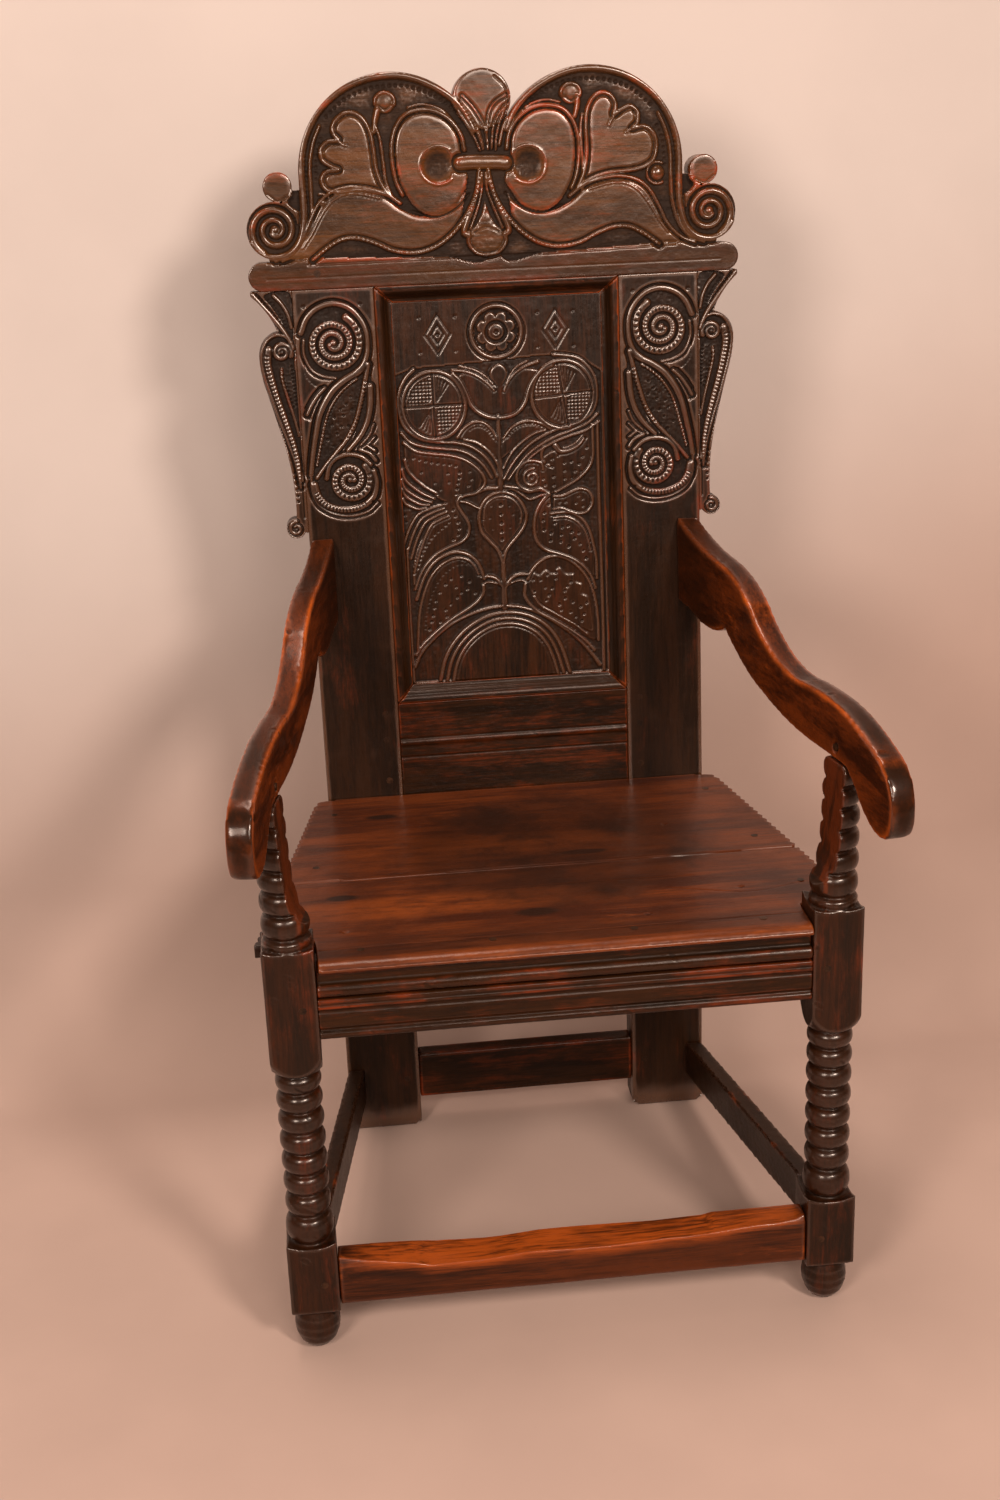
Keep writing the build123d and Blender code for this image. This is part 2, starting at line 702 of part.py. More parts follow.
with BuildPart() as front_stretcher:
    rail_with_tenons(
        block_inner,
        (front_face + front_stretcher_inset, front_face + front_stretcher_inset + front_stretcher_thick),
        front_stretcher_z, front_tenon_x[1], front_tenon_y, front_stretcher_tenon_z,
    )
    # the front top arris, rounded by three centuries of feet
    chamfer(
        front_stretcher.edges().filter_by(Axis.X).group_by(Axis.Y)[0].sort_by(Axis.Z)[-1],
        length=9, length2=5,
    )
    for side in (-1, 1):
        peg_hole(front_peg_plane, (side * front_peg_x, middle(front_stretcher_tenon_z)), front_peg_reach)

with BuildPart() as rear_stretcher:
    rail_with_tenons(
        back_inner, (post_face + rear_inset + 2, post_face + rear_inset + 2 + rear_stretcher_thick),
        rear_stretcher_z, rear_tenon_x[1], rear_tenon_y, rear_stretcher_tenon_z,
    )
    for side in (-1, 1):
        peg_hole(rear_peg_plane, (side * rear_peg_x, middle(rear_stretcher_tenon_z)), -back_post_thick)

with BuildPart() as right_stretcher:
    splayed_rail(
        stretcher_front_x, stretcher_rear_x, stretcher_front_z, stretcher_rear_z,
        stretcher_tenon_front_z, stretcher_tenon_rear_z,
    )

with BuildPart() as left_stretcher:
    mirror(right_stretcher.part, about=Plane.YZ)

# ---------------------------------------------------------------- seat boards
notch_x = block_inner - notch_gap
notch_y = front_face + block + notch_gap
side_slope = (seat_front_half - seat_back_half) / (post_face - notch_y)
joint_half = seat_back_half + side_slope * (post_face - board_joint)
rear_board_front = board_joint + seat_joint_gap
rear_joint_half = seat_back_half + side_slope * (post_face - rear_board_front)

with BuildPart() as seat_front_board:
    nosing_front = front_face - seat_nosing
    with BuildSketch(Plane.YZ.offset(-seat_front_half)):
        with BuildLine():
            Polyline(
                (board_joint, seat_under), (front_face + 8, seat_under), (front_face + 8, seat_under + 3.5),
                (nosing_front + 2, seat_under + 5), (nosing_front, seat_under + 7),
                (nosing_front, seat_under + 9),
            )
            ThreePointArc(
                (nosing_front, seat_under + 9), (nosing_front + 3, seat_under + 11),
                (nosing_front + 8, seat_under + 11.8),
            )
            Polyline(
                (nosing_front + 8, seat_under + 11.8), (front_face + 28, seat_height - 0.8),
                (front_face + 30, seat_height), (board_joint, seat_height), (board_joint, seat_under),
            )
        make_face()
    extrude(amount=2 * seat_front_half)
    with BuildSketch(Plane.XY.offset(seat_under)):
        with BuildLine():
            Polyline(
                (-notch_x, nosing_front), (notch_x, nosing_front), (notch_x, notch_y),
                (seat_front_half, notch_y), (joint_half, board_joint), (-joint_half, board_joint),
                (-seat_front_half, notch_y), (-notch_x, notch_y), close=True,
            )
        make_face()
    extrude(amount=seat_thick, mode=Mode.INTERSECT)
    for spot in front_rail_seat_pegs:
        peg_hole(seat_top_plane, spot, seat_peg_reach)
    for side in (-1, 1):
        peg_hole(seat_top_plane, (side * front_board_side_peg[0], front_board_side_peg[1]), seat_peg_reach)

with BuildPart() as seat_rear_board:
    with BuildSketch(Plane.XY.offset(seat_under)):
        with BuildLine():
            Polyline(
                (-rear_joint_half, rear_board_front), (rear_joint_half, rear_board_front),
                (seat_back_half, post_face), (-seat_back_half, post_face), close=True,
            )
        make_face()
    extrude(amount=seat_thick)
    for x, y in rear_board_side_pegs:
        for side in (-1, 1):
            peg_hole(seat_top_plane, (side * x, y), seat_peg_reach)

# ---------------------------------------------------------------- front posts
ring_pitch = (leg_top - foot_block_top) / ring_count
bobbin_base = seat_block_top + 8
bobbin_pitch = (arm_seat - bobbin_base) / bobbin_count
corner_radius = block / math.sqrt(2) + 0.5


def turned_rings(base, count, pitch, valley, radius):
    """A pile of rings, each a bevel up, a narrow band and a bevel down."""
    for index in range(count):
        low = base + index * pitch
        Polyline(
            (valley, low), (radius, low + ring_bevel * pitch), (radius, low + (1 - ring_bevel) * pitch),
            (valley, low + pitch),
        )


with BuildPart() as front_right_post:
    level_box(
        (block_inner, block_outer), (front_face, front_face + block), (foot_height, foot_block_top)
    )
    level_box(
        (block_inner, block_outer), (front_face, front_face + block), (leg_top, seat_block_top)
    )
    axis_plane = Plane(origin=(front_post_x, post_axis, 0), x_dir=(1, 0, 0), z_dir=(0, -1, 0))
    turning_axis = Axis((front_post_x, post_axis, 0), (0, 0, 1))
    # The lathe bevels the corners of each square block where the turning runs up to it
    with BuildSketch(axis_plane):
        with BuildLine():
            Polyline(
                (0, foot_height), (block / 2 + 5, foot_height), (corner_radius, foot_height + 4),
                (corner_radius, foot_block_top - 9), (block / 2 - 1.5, foot_block_top),
                (0.01, foot_block_top), (0.01, leg_top), (ring_radius - 1, leg_top),
                (ring_radius + 8, leg_top + 7), (corner_radius, leg_top + 23),
                (corner_radius, seat_block_top - 9), (block / 2 - 1, seat_block_top),
                (0, seat_block_top), (0, foot_height),
            )
        make_face()
    revolve(axis=turning_axis, mode=Mode.INTERSECT)
    # Ball foot, ringed leg, then the collar and the bobbins of the arm support
    with BuildSketch(axis_plane):
        with BuildLine():
            Polyline(
                (0, 0), (foot_toe, 0), (0.56 * foot_radius, 0.06 * foot_height),
                (0.83 * foot_radius, 0.21 * foot_height), (0.97 * foot_radius, 0.42 * foot_height),
                (foot_radius, 0.58 * foot_height), (0.93 * foot_radius, 0.78 * foot_height),
                (0.78 * foot_radius, 0.94 * foot_height), (0.75 * foot_radius, foot_height),
                (0.75 * foot_radius, foot_height + 1), (0, foot_height + 1), (0, 0),
            )
        make_face()
    revolve(axis=turning_axis)
    with BuildSketch(axis_plane):
        with BuildLine():
            Polyline(
                (0, foot_block_top - 1), (ring_valley + 3, foot_block_top - 1),
                (ring_valley + 3, foot_block_top), (ring_valley, foot_block_top),
            )
            turned_rings(foot_block_top, ring_count, ring_pitch, ring_valley, ring_radius)
            Polyline(
                (ring_valley, leg_top), (ring_valley, leg_top + 1), (0, leg_top + 1),
                (0, foot_block_top - 1),
            )
        make_face()
    revolve(axis=turning_axis)
    with BuildSketch(axis_plane):
        with BuildLine():
            Polyline(
                (0, seat_block_top - 1), (block / 2 - 4, seat_block_top - 1),
                (block / 2 - 4, seat_block_top), (block / 2 - 2, seat_block_top + 3),
                (bobbin_valley, bobbin_base),
            )
            turned_rings(bobbin_base, bobbin_count, bobbin_pitch, bobbin_valley, bobbin_radius)
            Polyline((bobbin_valley, arm_seat), (0, arm_seat), (0, seat_block_top - 1))
        make_face()
    revolve(axis=turning_axis)
    # The arm support is sawn flat on its inner side, flush with the arm above and running out below
    inner_edge = -arm_inset * math.cos(splay)
    saw_plane = Plane(
        origin=(front_post_x, post_axis, 0),
        x_dir=(math.cos(splay), math.sin(splay), 0),
        z_dir=(math.sin(splay), -math.cos(splay), 0),
    )
    with BuildSketch(saw_plane):
        with BuildLine():
            Line((inner_edge, arm_seat), (inner_edge - 3, arm_seat - 70))
            ThreePointArc(
                (inner_edge - 3, arm_seat - 70), (inner_edge - 9, arm_seat - 109),
                (inner_edge - 25, arm_seat - 126),
            )
            Polyline(
                (inner_edge - 25, arm_seat - 126), (inner_edge - 40, arm_seat - 126),
                (inner_edge - 40, arm_seat + 1), (inner_edge, arm_seat + 1), (inner_edge, arm_seat),
            )
        make_face()
    extrude(amount=block, both=True, mode=Mode.SUBTRACT)
    # Tenon into the arm
    with BuildSketch(post_top):
        with Locations((post_tenon_out, 0)):
            Rectangle(arm_tenon_thick, post_tenon_wide)
    extrude(amount=post_tenon_high)
    # Mortises for the two front rails and the two side rails
    for tenon_z in (front_rail_tenon_z, front_stretcher_tenon_z):
        level_box(
            (block_inner - 1, front_tenon_x[1] + end_gap),
            widen(front_tenon_y, fit),
            widen(tenon_z, fit),
            Mode.SUBTRACT,
        )
        peg_hole(front_peg_plane, (front_peg_x, middle(tenon_z)), front_peg_reach)
    for span_x, tenon_z in ((rail_front_x, side_rail_tenon_z), (stretcher_front_x, stretcher_tenon_front_z)):
        level_box(
            widen(side_tenon_x(span_x), fit),
            (side_tenon_front_y[0] - end_gap, front_face + block + 1),
            widen(tenon_z, fit),
            Mode.SUBTRACT,
        )
        peg_hole(side_peg_front_plane, (side_peg_front_y, middle(tenon_z)), side_peg_reach)
    peg_hole(arm_face, arm_post_peg_spot, -arm_thick)

with BuildPart() as front_left_post:
    mirror(front_right_post.part, about=Plane.YZ)

# ---------------------------------------------------------------- arms
def arm_point(run_share, rise_share):
    """A point on the arm's outline, as shares of its run to the front post and its rise."""
    return (run_share * arm_run, arm_seat + rise_share * arm_rise)


with BuildPart() as right_arm:
    hand_end = arm_run + arm_overhang
    hand_top = (hand_end - 32, arm_seat + 40)
    hand_tip = (hand_end, arm_seat - 8)
    hand_foot = (hand_end - 31, arm_seat - 39)
    rest_front = arm_run + block / 2 - 2
    rest_back = arm_run - block / 2 + 2
    with BuildSketch(arm_face):
        with BuildLine():
            # top edge: a level rear part, a dip, and a low crown over the post
            ThreePointArc(arm_point(-0.05, 1.02), arm_point(0.11, 0.893), arm_point(0.27, 0.837))
            ThreePointArc(arm_point(0.27, 0.837), arm_point(0.38, 0.783), arm_point(0.48, 0.66))
            ThreePointArc(arm_point(0.48, 0.66), arm_point(0.63, 0.425), arm_point(0.78, 0.366))
            ThreePointArc(arm_point(0.78, 0.366), arm_point(1.0, 0.378), hand_top)
            # the drooping hand
            ThreePointArc(hand_top, (hand_end - 7, arm_seat + 22), hand_tip)
            ThreePointArc(hand_tip, (hand_end - 9, arm_seat - 31), hand_foot)
            ThreePointArc(hand_foot, (hand_end - 60, arm_seat - 29), (hand_end - 76, arm_seat - 16))
            Line((hand_end - 76, arm_seat - 16), (rest_front, arm_seat))
            Line((rest_front, arm_seat), (rest_back, arm_seat))
            # the long hollow under the arm, then the small bracket at the back post
            ThreePointArc((rest_back, arm_seat), arm_point(0.75, 0.01), arm_point(0.57, 0.092))
            ThreePointArc(arm_point(0.57, 0.092), arm_point(0.44, 0.193), arm_point(0.32, 0.37))
            ThreePointArc(arm_point(0.32, 0.37), arm_point(0.23, 0.288), arm_point(0.137, 0.293))
            ThreePointArc(arm_point(0.137, 0.293), arm_point(0.044, 0.335), arm_point(-0.05, 0.34))
            Line(arm_point(-0.05, 0.34), arm_point(-0.05, 1.02))
        make_face()
    extrude(amount=-arm_thick)
    split(bisect_by=back_face, keep=Keep.TOP)
    raked_box(arm_tenon_x, arm_tenon_up, arm_tenon_behind)
    # Mortise for the front post's tenon
    with BuildSketch(post_top.offset(-1)):
        with Locations((post_tenon_out, 0)):
            Rectangle(arm_tenon_thick + 2 * fit, post_tenon_wide + 2 * fit)
    extrude(amount=post_tenon_high + end_gap + 1, mode=Mode.SUBTRACT)
    peg_hole(arm_face, arm_post_peg_spot, -arm_thick)
    peg_hole(side_peg_rear_plane, arm_peg_spot, side_peg_rear_reach)

with BuildPart() as left_arm:
    mirror(right_arm.part, about=Plane.YZ)

# ---------------------------------------------------------------- pegs
# Each group is drawn on the right-hand side and mirrored.
with BuildPart() as crest_pegs:
    peg_along(back_face.offset(crest_lean), crest_peg_spot, -crest_thick)
    mirror(about=Plane.YZ)

with BuildPart() as back_rail_pegs:
    for spot in back_rail_peg_spots:
        peg_along(back_face, spot, -back_post_thick)
    mirror(about=Plane.YZ)

with BuildPart() as seat_rail_pegs:
    peg_along(front_peg_plane, (front_peg_x, middle(front_rail_tenon_z)), front_peg_reach)
    peg_along(rear_peg_plane, (rear_peg_x, middle(rear_rail_tenon_z)), -back_post_thick)
    peg_along(side_peg_front_plane, (side_peg_front_y, middle(side_rail_tenon_z)), side_peg_reach)
    peg_along(side_peg_rear_plane, (side_peg_rear_y, middle(side_rail_tenon_z)), side_peg_rear_reach)
    mirror(about=Plane.YZ)

with BuildPart() as stretcher_pegs:
    peg_along(front_peg_plane, (front_peg_x, middle(front_stretcher_tenon_z)), front_peg_reach)
    peg_along(rear_peg_plane, (rear_peg_x, middle(rear_stretcher_tenon_z)), -back_post_thick)
    peg_along(side_peg_front_plane, (side_peg_front_y, middle(stretcher_tenon_front_z)), side_peg_reach)
    peg_along(side_peg_rear_plane, (side_peg_rear_y, middle(stretcher_tenon_rear_z)), side_peg_rear_reach)
    mirror(about=Plane.YZ)

with BuildPart() as arm_pegs:
    peg_along(arm_face, arm_post_peg_spot, -arm_thick)
    peg_along(side_peg_rear_plane, arm_peg_spot, side_peg_rear_reach)
    mirror(about=Plane.YZ)

with BuildPart() as ear_dowels:
    for spot in ear_dowel_spots:
        peg_along(side_peg_rear_plane.offset(-ear_dowel_half), spot, 2 * ear_dowel_half, ear_dowel_radius)
    mirror(about=Plane.YZ)

with BuildPart() as seat_pegs:
    for spot in front_rail_seat_pegs + side_rail_seat_pegs:
        peg_along(seat_top_plane, spot, seat_peg_reach)
    mirror(about=Plane.YZ)

# ---------------------------------------------------------------- write every piece
pieces = {
    "left_back_post": left_back_post,
    "right_back_post": right_back_post,
    "crest_rail": crest_rail,
    "left_ear_bracket": left_ear_bracket,
    "right_ear_bracket": right_ear_bracket,
    "back_panel": back_panel,
    "panel_moulding_top": panel_moulding_top,
    "panel_moulding_bottom": panel_moulding_bottom,
    "panel_moulding_left": panel_moulding_left,
    "panel_moulding_right": panel_moulding_right,
    "panel_bottom_rail": panel_bottom_rail,
    "rear_seat_rail": rear_seat_rail,
    "left_seat_rail": left_seat_rail,
    "right_seat_rail": right_seat_rail,
    "front_seat_rail": front_seat_rail,
    "front_apron_moulding": front_apron_moulding,
    "seat_front_board": seat_front_board,
    "seat_rear_board": seat_rear_board,
    "front_left_post": front_left_post,
    "front_right_post": front_right_post,
    "left_arm": left_arm,
    "right_arm": right_arm,
    "front_stretcher": front_stretcher,
    "rear_stretcher": rear_stretcher,
    "left_stretcher": left_stretcher,
    "right_stretcher": right_stretcher,
    "crest_pegs": crest_pegs,
    "back_rail_pegs": back_rail_pegs,
    "seat_rail_pegs": seat_rail_pegs,
    "stretcher_pegs": stretcher_pegs,
    "arm_pegs": arm_pegs,
    "ear_dowels": ear_dowels,
    "seat_pegs": seat_pegs,
}
for name, piece in pieces.items():
    save(piece, name)
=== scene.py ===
# %% [markdown]
# # A carved wainscot chair
# The chair is a joined oak armchair of the kind that a country joiner made in the late 1600s: a tall
# raked back with a carved panel, a scrolled crest, turned front posts and a plain boarded seat. The
# imported CAD model is loaded first and stays the frame for everything: each new piece takes its place
# from a CAD node.

# %% Load the frame
import json
import math
import bpy
import numpy as np
from mathutils import Matrix, Vector

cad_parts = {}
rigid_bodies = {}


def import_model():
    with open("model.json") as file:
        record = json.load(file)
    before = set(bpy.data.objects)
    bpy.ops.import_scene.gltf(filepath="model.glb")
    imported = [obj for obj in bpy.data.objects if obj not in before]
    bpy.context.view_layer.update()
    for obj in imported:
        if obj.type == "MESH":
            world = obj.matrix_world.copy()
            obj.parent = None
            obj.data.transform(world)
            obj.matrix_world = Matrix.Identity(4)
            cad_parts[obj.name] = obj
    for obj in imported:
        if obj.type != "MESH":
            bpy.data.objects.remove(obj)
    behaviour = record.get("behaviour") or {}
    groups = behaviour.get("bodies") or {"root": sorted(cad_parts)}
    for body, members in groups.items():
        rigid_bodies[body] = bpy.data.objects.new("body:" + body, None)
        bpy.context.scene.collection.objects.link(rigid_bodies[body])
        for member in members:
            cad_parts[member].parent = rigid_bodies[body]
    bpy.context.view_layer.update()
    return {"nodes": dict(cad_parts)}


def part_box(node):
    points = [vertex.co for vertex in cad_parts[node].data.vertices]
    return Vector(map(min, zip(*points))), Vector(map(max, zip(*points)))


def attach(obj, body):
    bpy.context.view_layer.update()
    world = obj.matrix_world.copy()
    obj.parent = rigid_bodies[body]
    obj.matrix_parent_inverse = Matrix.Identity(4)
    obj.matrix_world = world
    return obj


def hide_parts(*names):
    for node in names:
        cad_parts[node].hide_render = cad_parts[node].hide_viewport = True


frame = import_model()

nodes = frame["nodes"]
bpy.ops.object.select_all(action="DESELECT")

# %% Where things are
mm = 0.001
seat_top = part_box("seat_rear_board")[1].z
post_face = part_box("rear_seat_rail")[0].y - 4 * mm      # front of the back posts, where they stand upright
front_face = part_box("front_left_post")[0].y             # front of the front posts
rake = math.atan(0.0422)                                # how far the back leans
bend_height = seat_top - 5.5 * mm                       # where it starts to lean
back_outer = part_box("right_back_post")[1].x
back_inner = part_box("right_back_post")[0].x
back_rise = 592 * mm                                    # from the bend up to the crest rail


def on_back(across, up, out):
    """Points of the raked back: across the chair, up the rake from the bend, out from the posts' face."""
    across, up, out = np.broadcast_arrays(across, up, out)
    y = post_face + up * math.sin(rake) - out * math.cos(rake)
    z = bend_height + up * math.cos(rake) + out * math.sin(rake)
    return np.stack([across, y, z], axis=-1)


def put(name, data):
    """A new object in the scene."""
    held = bpy.data.objects.new(name, data)
    bpy.context.scene.collection.objects.link(held)
    return held


print("seat", round(seat_top, 4), "posts", round(post_face, 4), round(front_face, 4), "x", back_inner,
      back_outer)

# %% [markdown]
# ## Camera
# The view is that of someone who stands in front of the chair, a little to its left, and looks down at
# it. The camera is turned about the upright axis first, then tipped down, then rolled by two degrees.

# %% Camera
turn, tip, roll = 0.09152, -0.34498, -0.03851
view = bpy.data.cameras.new("view")
view.sensor_width = 36
view.lens = 1864.16 / 1500 * view.sensor_width
camera = put("camera", view)
facing = (Matrix.Rotation(-turn, 4, "Z") @ Matrix.Rotation(math.pi / 2 + tip, 4, "X")
          @ Matrix.Rotation(roll, 4, "Z"))
camera.matrix_world = Matrix.Translation((-0.20805, front_face - 1.62985, 1.24351)) @ facing
bpy.context.scene.camera = camera
bpy.context.scene.view_settings.view_transform = "Standard"
print("lens", round(view.lens, 2))

# %% [markdown]
# ## Floor and light
# The chair stands on a wide sheet of pinkish paper that curves up behind it. One mesh does both: a
# profile of floor, curve and wall, drawn out sideways.

# %% Wrap a socket so that Python's operators add Math nodes


class Wire:
    """A socket of a material's node tree."""

    def __init__(self, tree, socket):
        self.tree = tree
        self.socket = socket

    def node(self, kind, settings=None, inputs=None, out=0):
        return add_node(self.tree, kind, settings, inputs, out)

    def maths(self, operation, *values):
        return self.node("ShaderNodeMath", {"operation": operation}, dict(enumerate(values)))

    def most(self, other):
        return self.maths("MAXIMUM", self, other)

    def step(self, low, high):
        """0 below low, 1 above high, smooth between."""
        return self.node("ShaderNodeMapRange", {"interpolation_type": "SMOOTHSTEP"},
                         {"Value": self, "From Min": low, "From Max": high})

    def tint(self, below, above):
        """A colour that runs from below to above as this value runs from 0 to 1."""
        return self.node("ShaderNodeMix", {"data_type": "RGBA"}, {0: self, 6: below, 7: above}, 2)

    def part(self, axis):
        """One of a place's coordinates."""
        return self.node("ShaderNodeSeparateXYZ", None, {"Vector": self}, axis)

    def mark(self, name):
        """A value that the mesh carries under this name."""
        return self.node("ShaderNodeAttribute", {"attribute_name": name}, out=2)

    def cloud(self, scale, detail=4.0, roughness=0.6):
        """Noise over the place that this wire gives."""
        return self.node("ShaderNodeTexNoise", None,
                         {"Vector": self, "Scale": scale, "Detail": detail, "Roughness": roughness})


def joins(operation, swapped=False):
    """The method that joins two wires, or a wire and a number, by a Math node."""
    if swapped:
        return lambda self, other: self.maths(operation, other, self)
    return lambda self, other: self.maths(operation, self, other)


for name, operation in (("add", "ADD"), ("sub", "SUBTRACT"), ("mul", "MULTIPLY"), ("truediv", "DIVIDE"),
                        ("pow", "POWER")):
    setattr(Wire, f"__{name}__", joins(operation))
    setattr(Wire, f"__r{name}__", joins(operation, swapped=True))


def add_node(tree, kind, settings=None, inputs=None, out=0):
    """A node with its settings made first, and then its inputs linked or given their values."""
    node = tree.nodes.new(kind)
    for name, value in (settings or {}).items():
        setattr(node, name, value)
    for name, value in (inputs or {}).items():
        if isinstance(value, Wire):
            tree.links.new(value.socket, node.inputs[name])
        elif isinstance(value, tuple) and len(value) == 3 and node.inputs[name].type == "RGBA":
            node.inputs[name].default_value = (*value, 1)
        else:
            node.inputs[name].default_value = value
    return Wire(tree, node.outputs[out] if len(node.outputs) else None)


def new_finish(name, roughness=0.5, specular=0.5):
    """A material with a bare Principled shader; returns it, its tree and its shader node."""
    finish = bpy.data.materials.new(name)
    finish.use_nodes = True
    tree = finish.node_tree
    shader = tree.nodes["Principled BSDF"]
    shader.inputs["Roughness"].default_value = roughness
    shader.inputs["Specular IOR Level"].default_value = specular
    return finish, tree, shader


def feed(tree, shader, name, value):
    tree.links.new(value.socket, shader.inputs[name])


# %% The paper floor and wall
wall_y, curve_radius, paper_half, paper_front, paper_top = 0.55, 0.22, 3.2, -1.7, 4.2
curve = [(wall_y - curve_radius + curve_radius * math.sin(a), curve_radius * (1 - math.cos(a)))
         for a in (step / 24 * math.pi / 2 for step in range(25))]
profile = [(paper_front, 0.0), *curve, (wall_y, paper_top)]
paper_mesh = bpy.data.meshes.new("paper")
paper_mesh.from_pydata(
    [(side * paper_half, y, z) for y, z in profile for side in (-1, 1)],
    [],
    [(2 * i, 2 * i + 1, 2 * i + 3, 2 * i + 2) for i in range(len(profile) - 1)],
)
paper_mesh.shade_smooth()
paper = put("paper", paper_mesh)
paper_finish, tree, shader = new_finish("pale_paper", 0.85, 0.1)
place = add_node(tree, "ShaderNodeTexCoord", out=3)
scuffs = place.node("ShaderNodeTexNoise", None, {"Vector": place, "Scale": 3.0, "Detail": 5.0}).step(0.3, 0.7)
sideways, height = place.part(0), place.part(2)
# the paper's colour holds painted light and shade: paler high up and to the left, darker low down and to the
# right, with a painted shade band across the foot of the wall
paper_painted_shade = scuffs.tint((0.49, 0.385, 0.345), (0.54, 0.425, 0.38))
paper_painted_lit = scuffs.tint((0.605, 0.578, 0.572), (0.645, 0.616, 0.610))
paper_with_painted_light = (height - sideways * 0.35).step(0.12, 0.95).tint(paper_painted_shade, paper_painted_lit)
painted_shade_band = height.step(0.004, 0.12) * (1 - height.step(0.2, 0.85))
feed(tree, shader, "Base Color", (painted_shade_band * 0.35).tint(paper_with_painted_light, (0.37, 0.285, 0.255)))
paper_mesh.materials.append(paper_finish)
print("paper faces", len(paper_mesh.polygons))

# %% Lamps


def lamp(name, place, aim, size, power):
    """A warm round lamp, turned to face its aim."""
    light = bpy.data.lights.new(name, "AREA")
    light.shape = "DISK"
    light.size = size
    light.energy = power
    light.color = (1.0, 0.77, 0.63)
    way = Vector(aim) - Vector(place)
    turned = way.to_track_quat("-Z", "Y").to_matrix().to_4x4()
    put(name, light).matrix_world = Matrix.Translation(place) @ turned


lamp("key", (1.2, -2.6, 2.3), (0.0, 0.1, 0.7), 0.6, 72)
lamp("fill", (-1.5, -2.6, 1.9), (0.0, 0.1, 0.7), 0.9, 56)
lamp("front", (0.4, -3.0, 1.9), (0.0, 0.2, 0.9), 0.9, 24)
lamp("top", (-0.3, 0.1, 3.0), (0.0, 0.3, 0.8), 1.0, 24)
world = bpy.data.worlds.new("room")
bpy.context.scene.world = world
world.use_nodes = True
background = world.node_tree.nodes["Background"].inputs
background["Color"].default_value = (1.0, 0.56, 0.38, 1)
background["Strength"].default_value = 0.13
print("lamps", len(bpy.data.lights))

# %% [markdown]
# ## How the carving is made
# The carver drew leaves and scrolls on the flat oak, cut the ground away between them with gouges, and
# left rounded ridges and lobes standing. Blender could do it by sculpting, by hundreds of curves with a
# bevel, or by a picture used as a displacement map. Here the board's face is kept as a grid of heights
# instead, and each cut is a short list of points with a width and a depth, so every leaf can be read
# and changed like a carver's own drawing. The grid then becomes the real front of a closed solid.

# %% Lines that a carver draws
def flowing(points, closed=False, step=1.5):
    """A smooth line through a few given points, as closely spaced ones."""
    p = np.array(points, float)
    p = np.vstack([p[-1], p, p[:2]]) if closed else np.vstack([2 * p[0] - p[1], p, 2 * p[-1] - p[-2]])
    line = []
    for a, b, c, d in zip(p, p[1:], p[2:], p[3:]):
        t = np.linspace(0, 1, max(2, int(np.linalg.norm(c - b) / step)), endpoint=False)[:, None]
        line.append(0.5 * (2 * b + (c - a) * t + (2 * a - 5 * b + 4 * c - d) * t**2
                           + (3 * b - a - 3 * c + d) * t**3))
    return np.vstack([*line, p[-2:-1]])


def circle_line(centre, radius, radius_up=None, step=0.15):
    turn = np.arange(0, 2 * math.pi + step, step)
    return np.stack([centre[0] + radius * np.cos(turn), centre[1] + (radius_up or radius) * np.sin(turn)],
                    axis=1)


def arc_line(centre, radius, radius_up, degrees):
    return [(centre[0] + math.cos(a) * radius, centre[1] + math.sin(a) * radius_up)
            for a in np.radians(degrees)]


def spiral_line(centre, start_radius, end_radius, start_angle, turns, squash=1.0):
    """A volute: it starts outside at an angle in degrees and winds in, anticlockwise for turns above 0."""
    share = np.linspace(0, 1, int(abs(turns) * 30) + 2)
    angle = math.radians(start_angle) + share * turns * 2 * math.pi
    radius = start_radius + (end_radius - start_radius) * share**0.85
    return np.stack([centre[0] + radius * np.cos(angle), centre[1] + radius * squash * np.sin(angle)], axis=1)


def and_back(points):
    """A drawing that ends where it began."""
    return f"{points} {points.split()[0]}"


def even(low, high, spacing):
    return np.linspace(low, high, int(round((high - low) / spacing)) + 1)


def uneven(x, z, size, seed):
    """Smooth random waves between -1 and 1, about size millimetres long."""
    table = np.random.default_rng(seed).uniform(-1, 1, (64, 64))
    u, v = x / size, z / size
    i, j = np.floor(u).astype(int), np.floor(v).astype(int)
    fu, fv = u - i, v - j
    fu, fv = fu * fu * (3 - 2 * fu), fv * fv * (3 - 2 * fv)
    low = table[j % 64, i % 64] * (1 - fu) + table[j % 64, (i + 1) % 64] * fu
    high = table[(j + 1) % 64, i % 64] * (1 - fu) + table[(j + 1) % 64, (i + 1) % 64] * fu
    return low * (1 - fv) + high * fv


def nearest(x, z, line):
    """For each spot, its distance to a line, and how far along the line that is, from 0 to 1."""
    gap, along = np.full(x.shape, 1e6), np.zeros(x.shape)
    for index, ((ax, az), (bx, bz)) in enumerate(zip(line, line[1:])):
        dx, dz = bx - ax, bz - az
        share = np.clip(((x - ax) * dx + (z - az) * dz) / (dx * dx + dz * dz + 1e-9), 0, 1)
        here = np.hypot(x - ax - share * dx, z - az - share * dz)
        along = np.where(here < gap, (index + share) / (len(line) - 1), along)
        gap = np.minimum(gap, here)
    return gap, along


def enclosed(x, z, line):
    """Which spots lie inside a closed line."""
    inside = np.zeros(x.shape, bool)
    for (ax, az), (bx, bz) in zip(line, np.vstack([line[1:], line[:1]])):
        spans = (az > z) != (bz > z)
        inside ^= spans & (x < (bx - ax) * (z - az) / (bz - az + 1e-12) + ax)
    return inside

# %% The gouges and punches


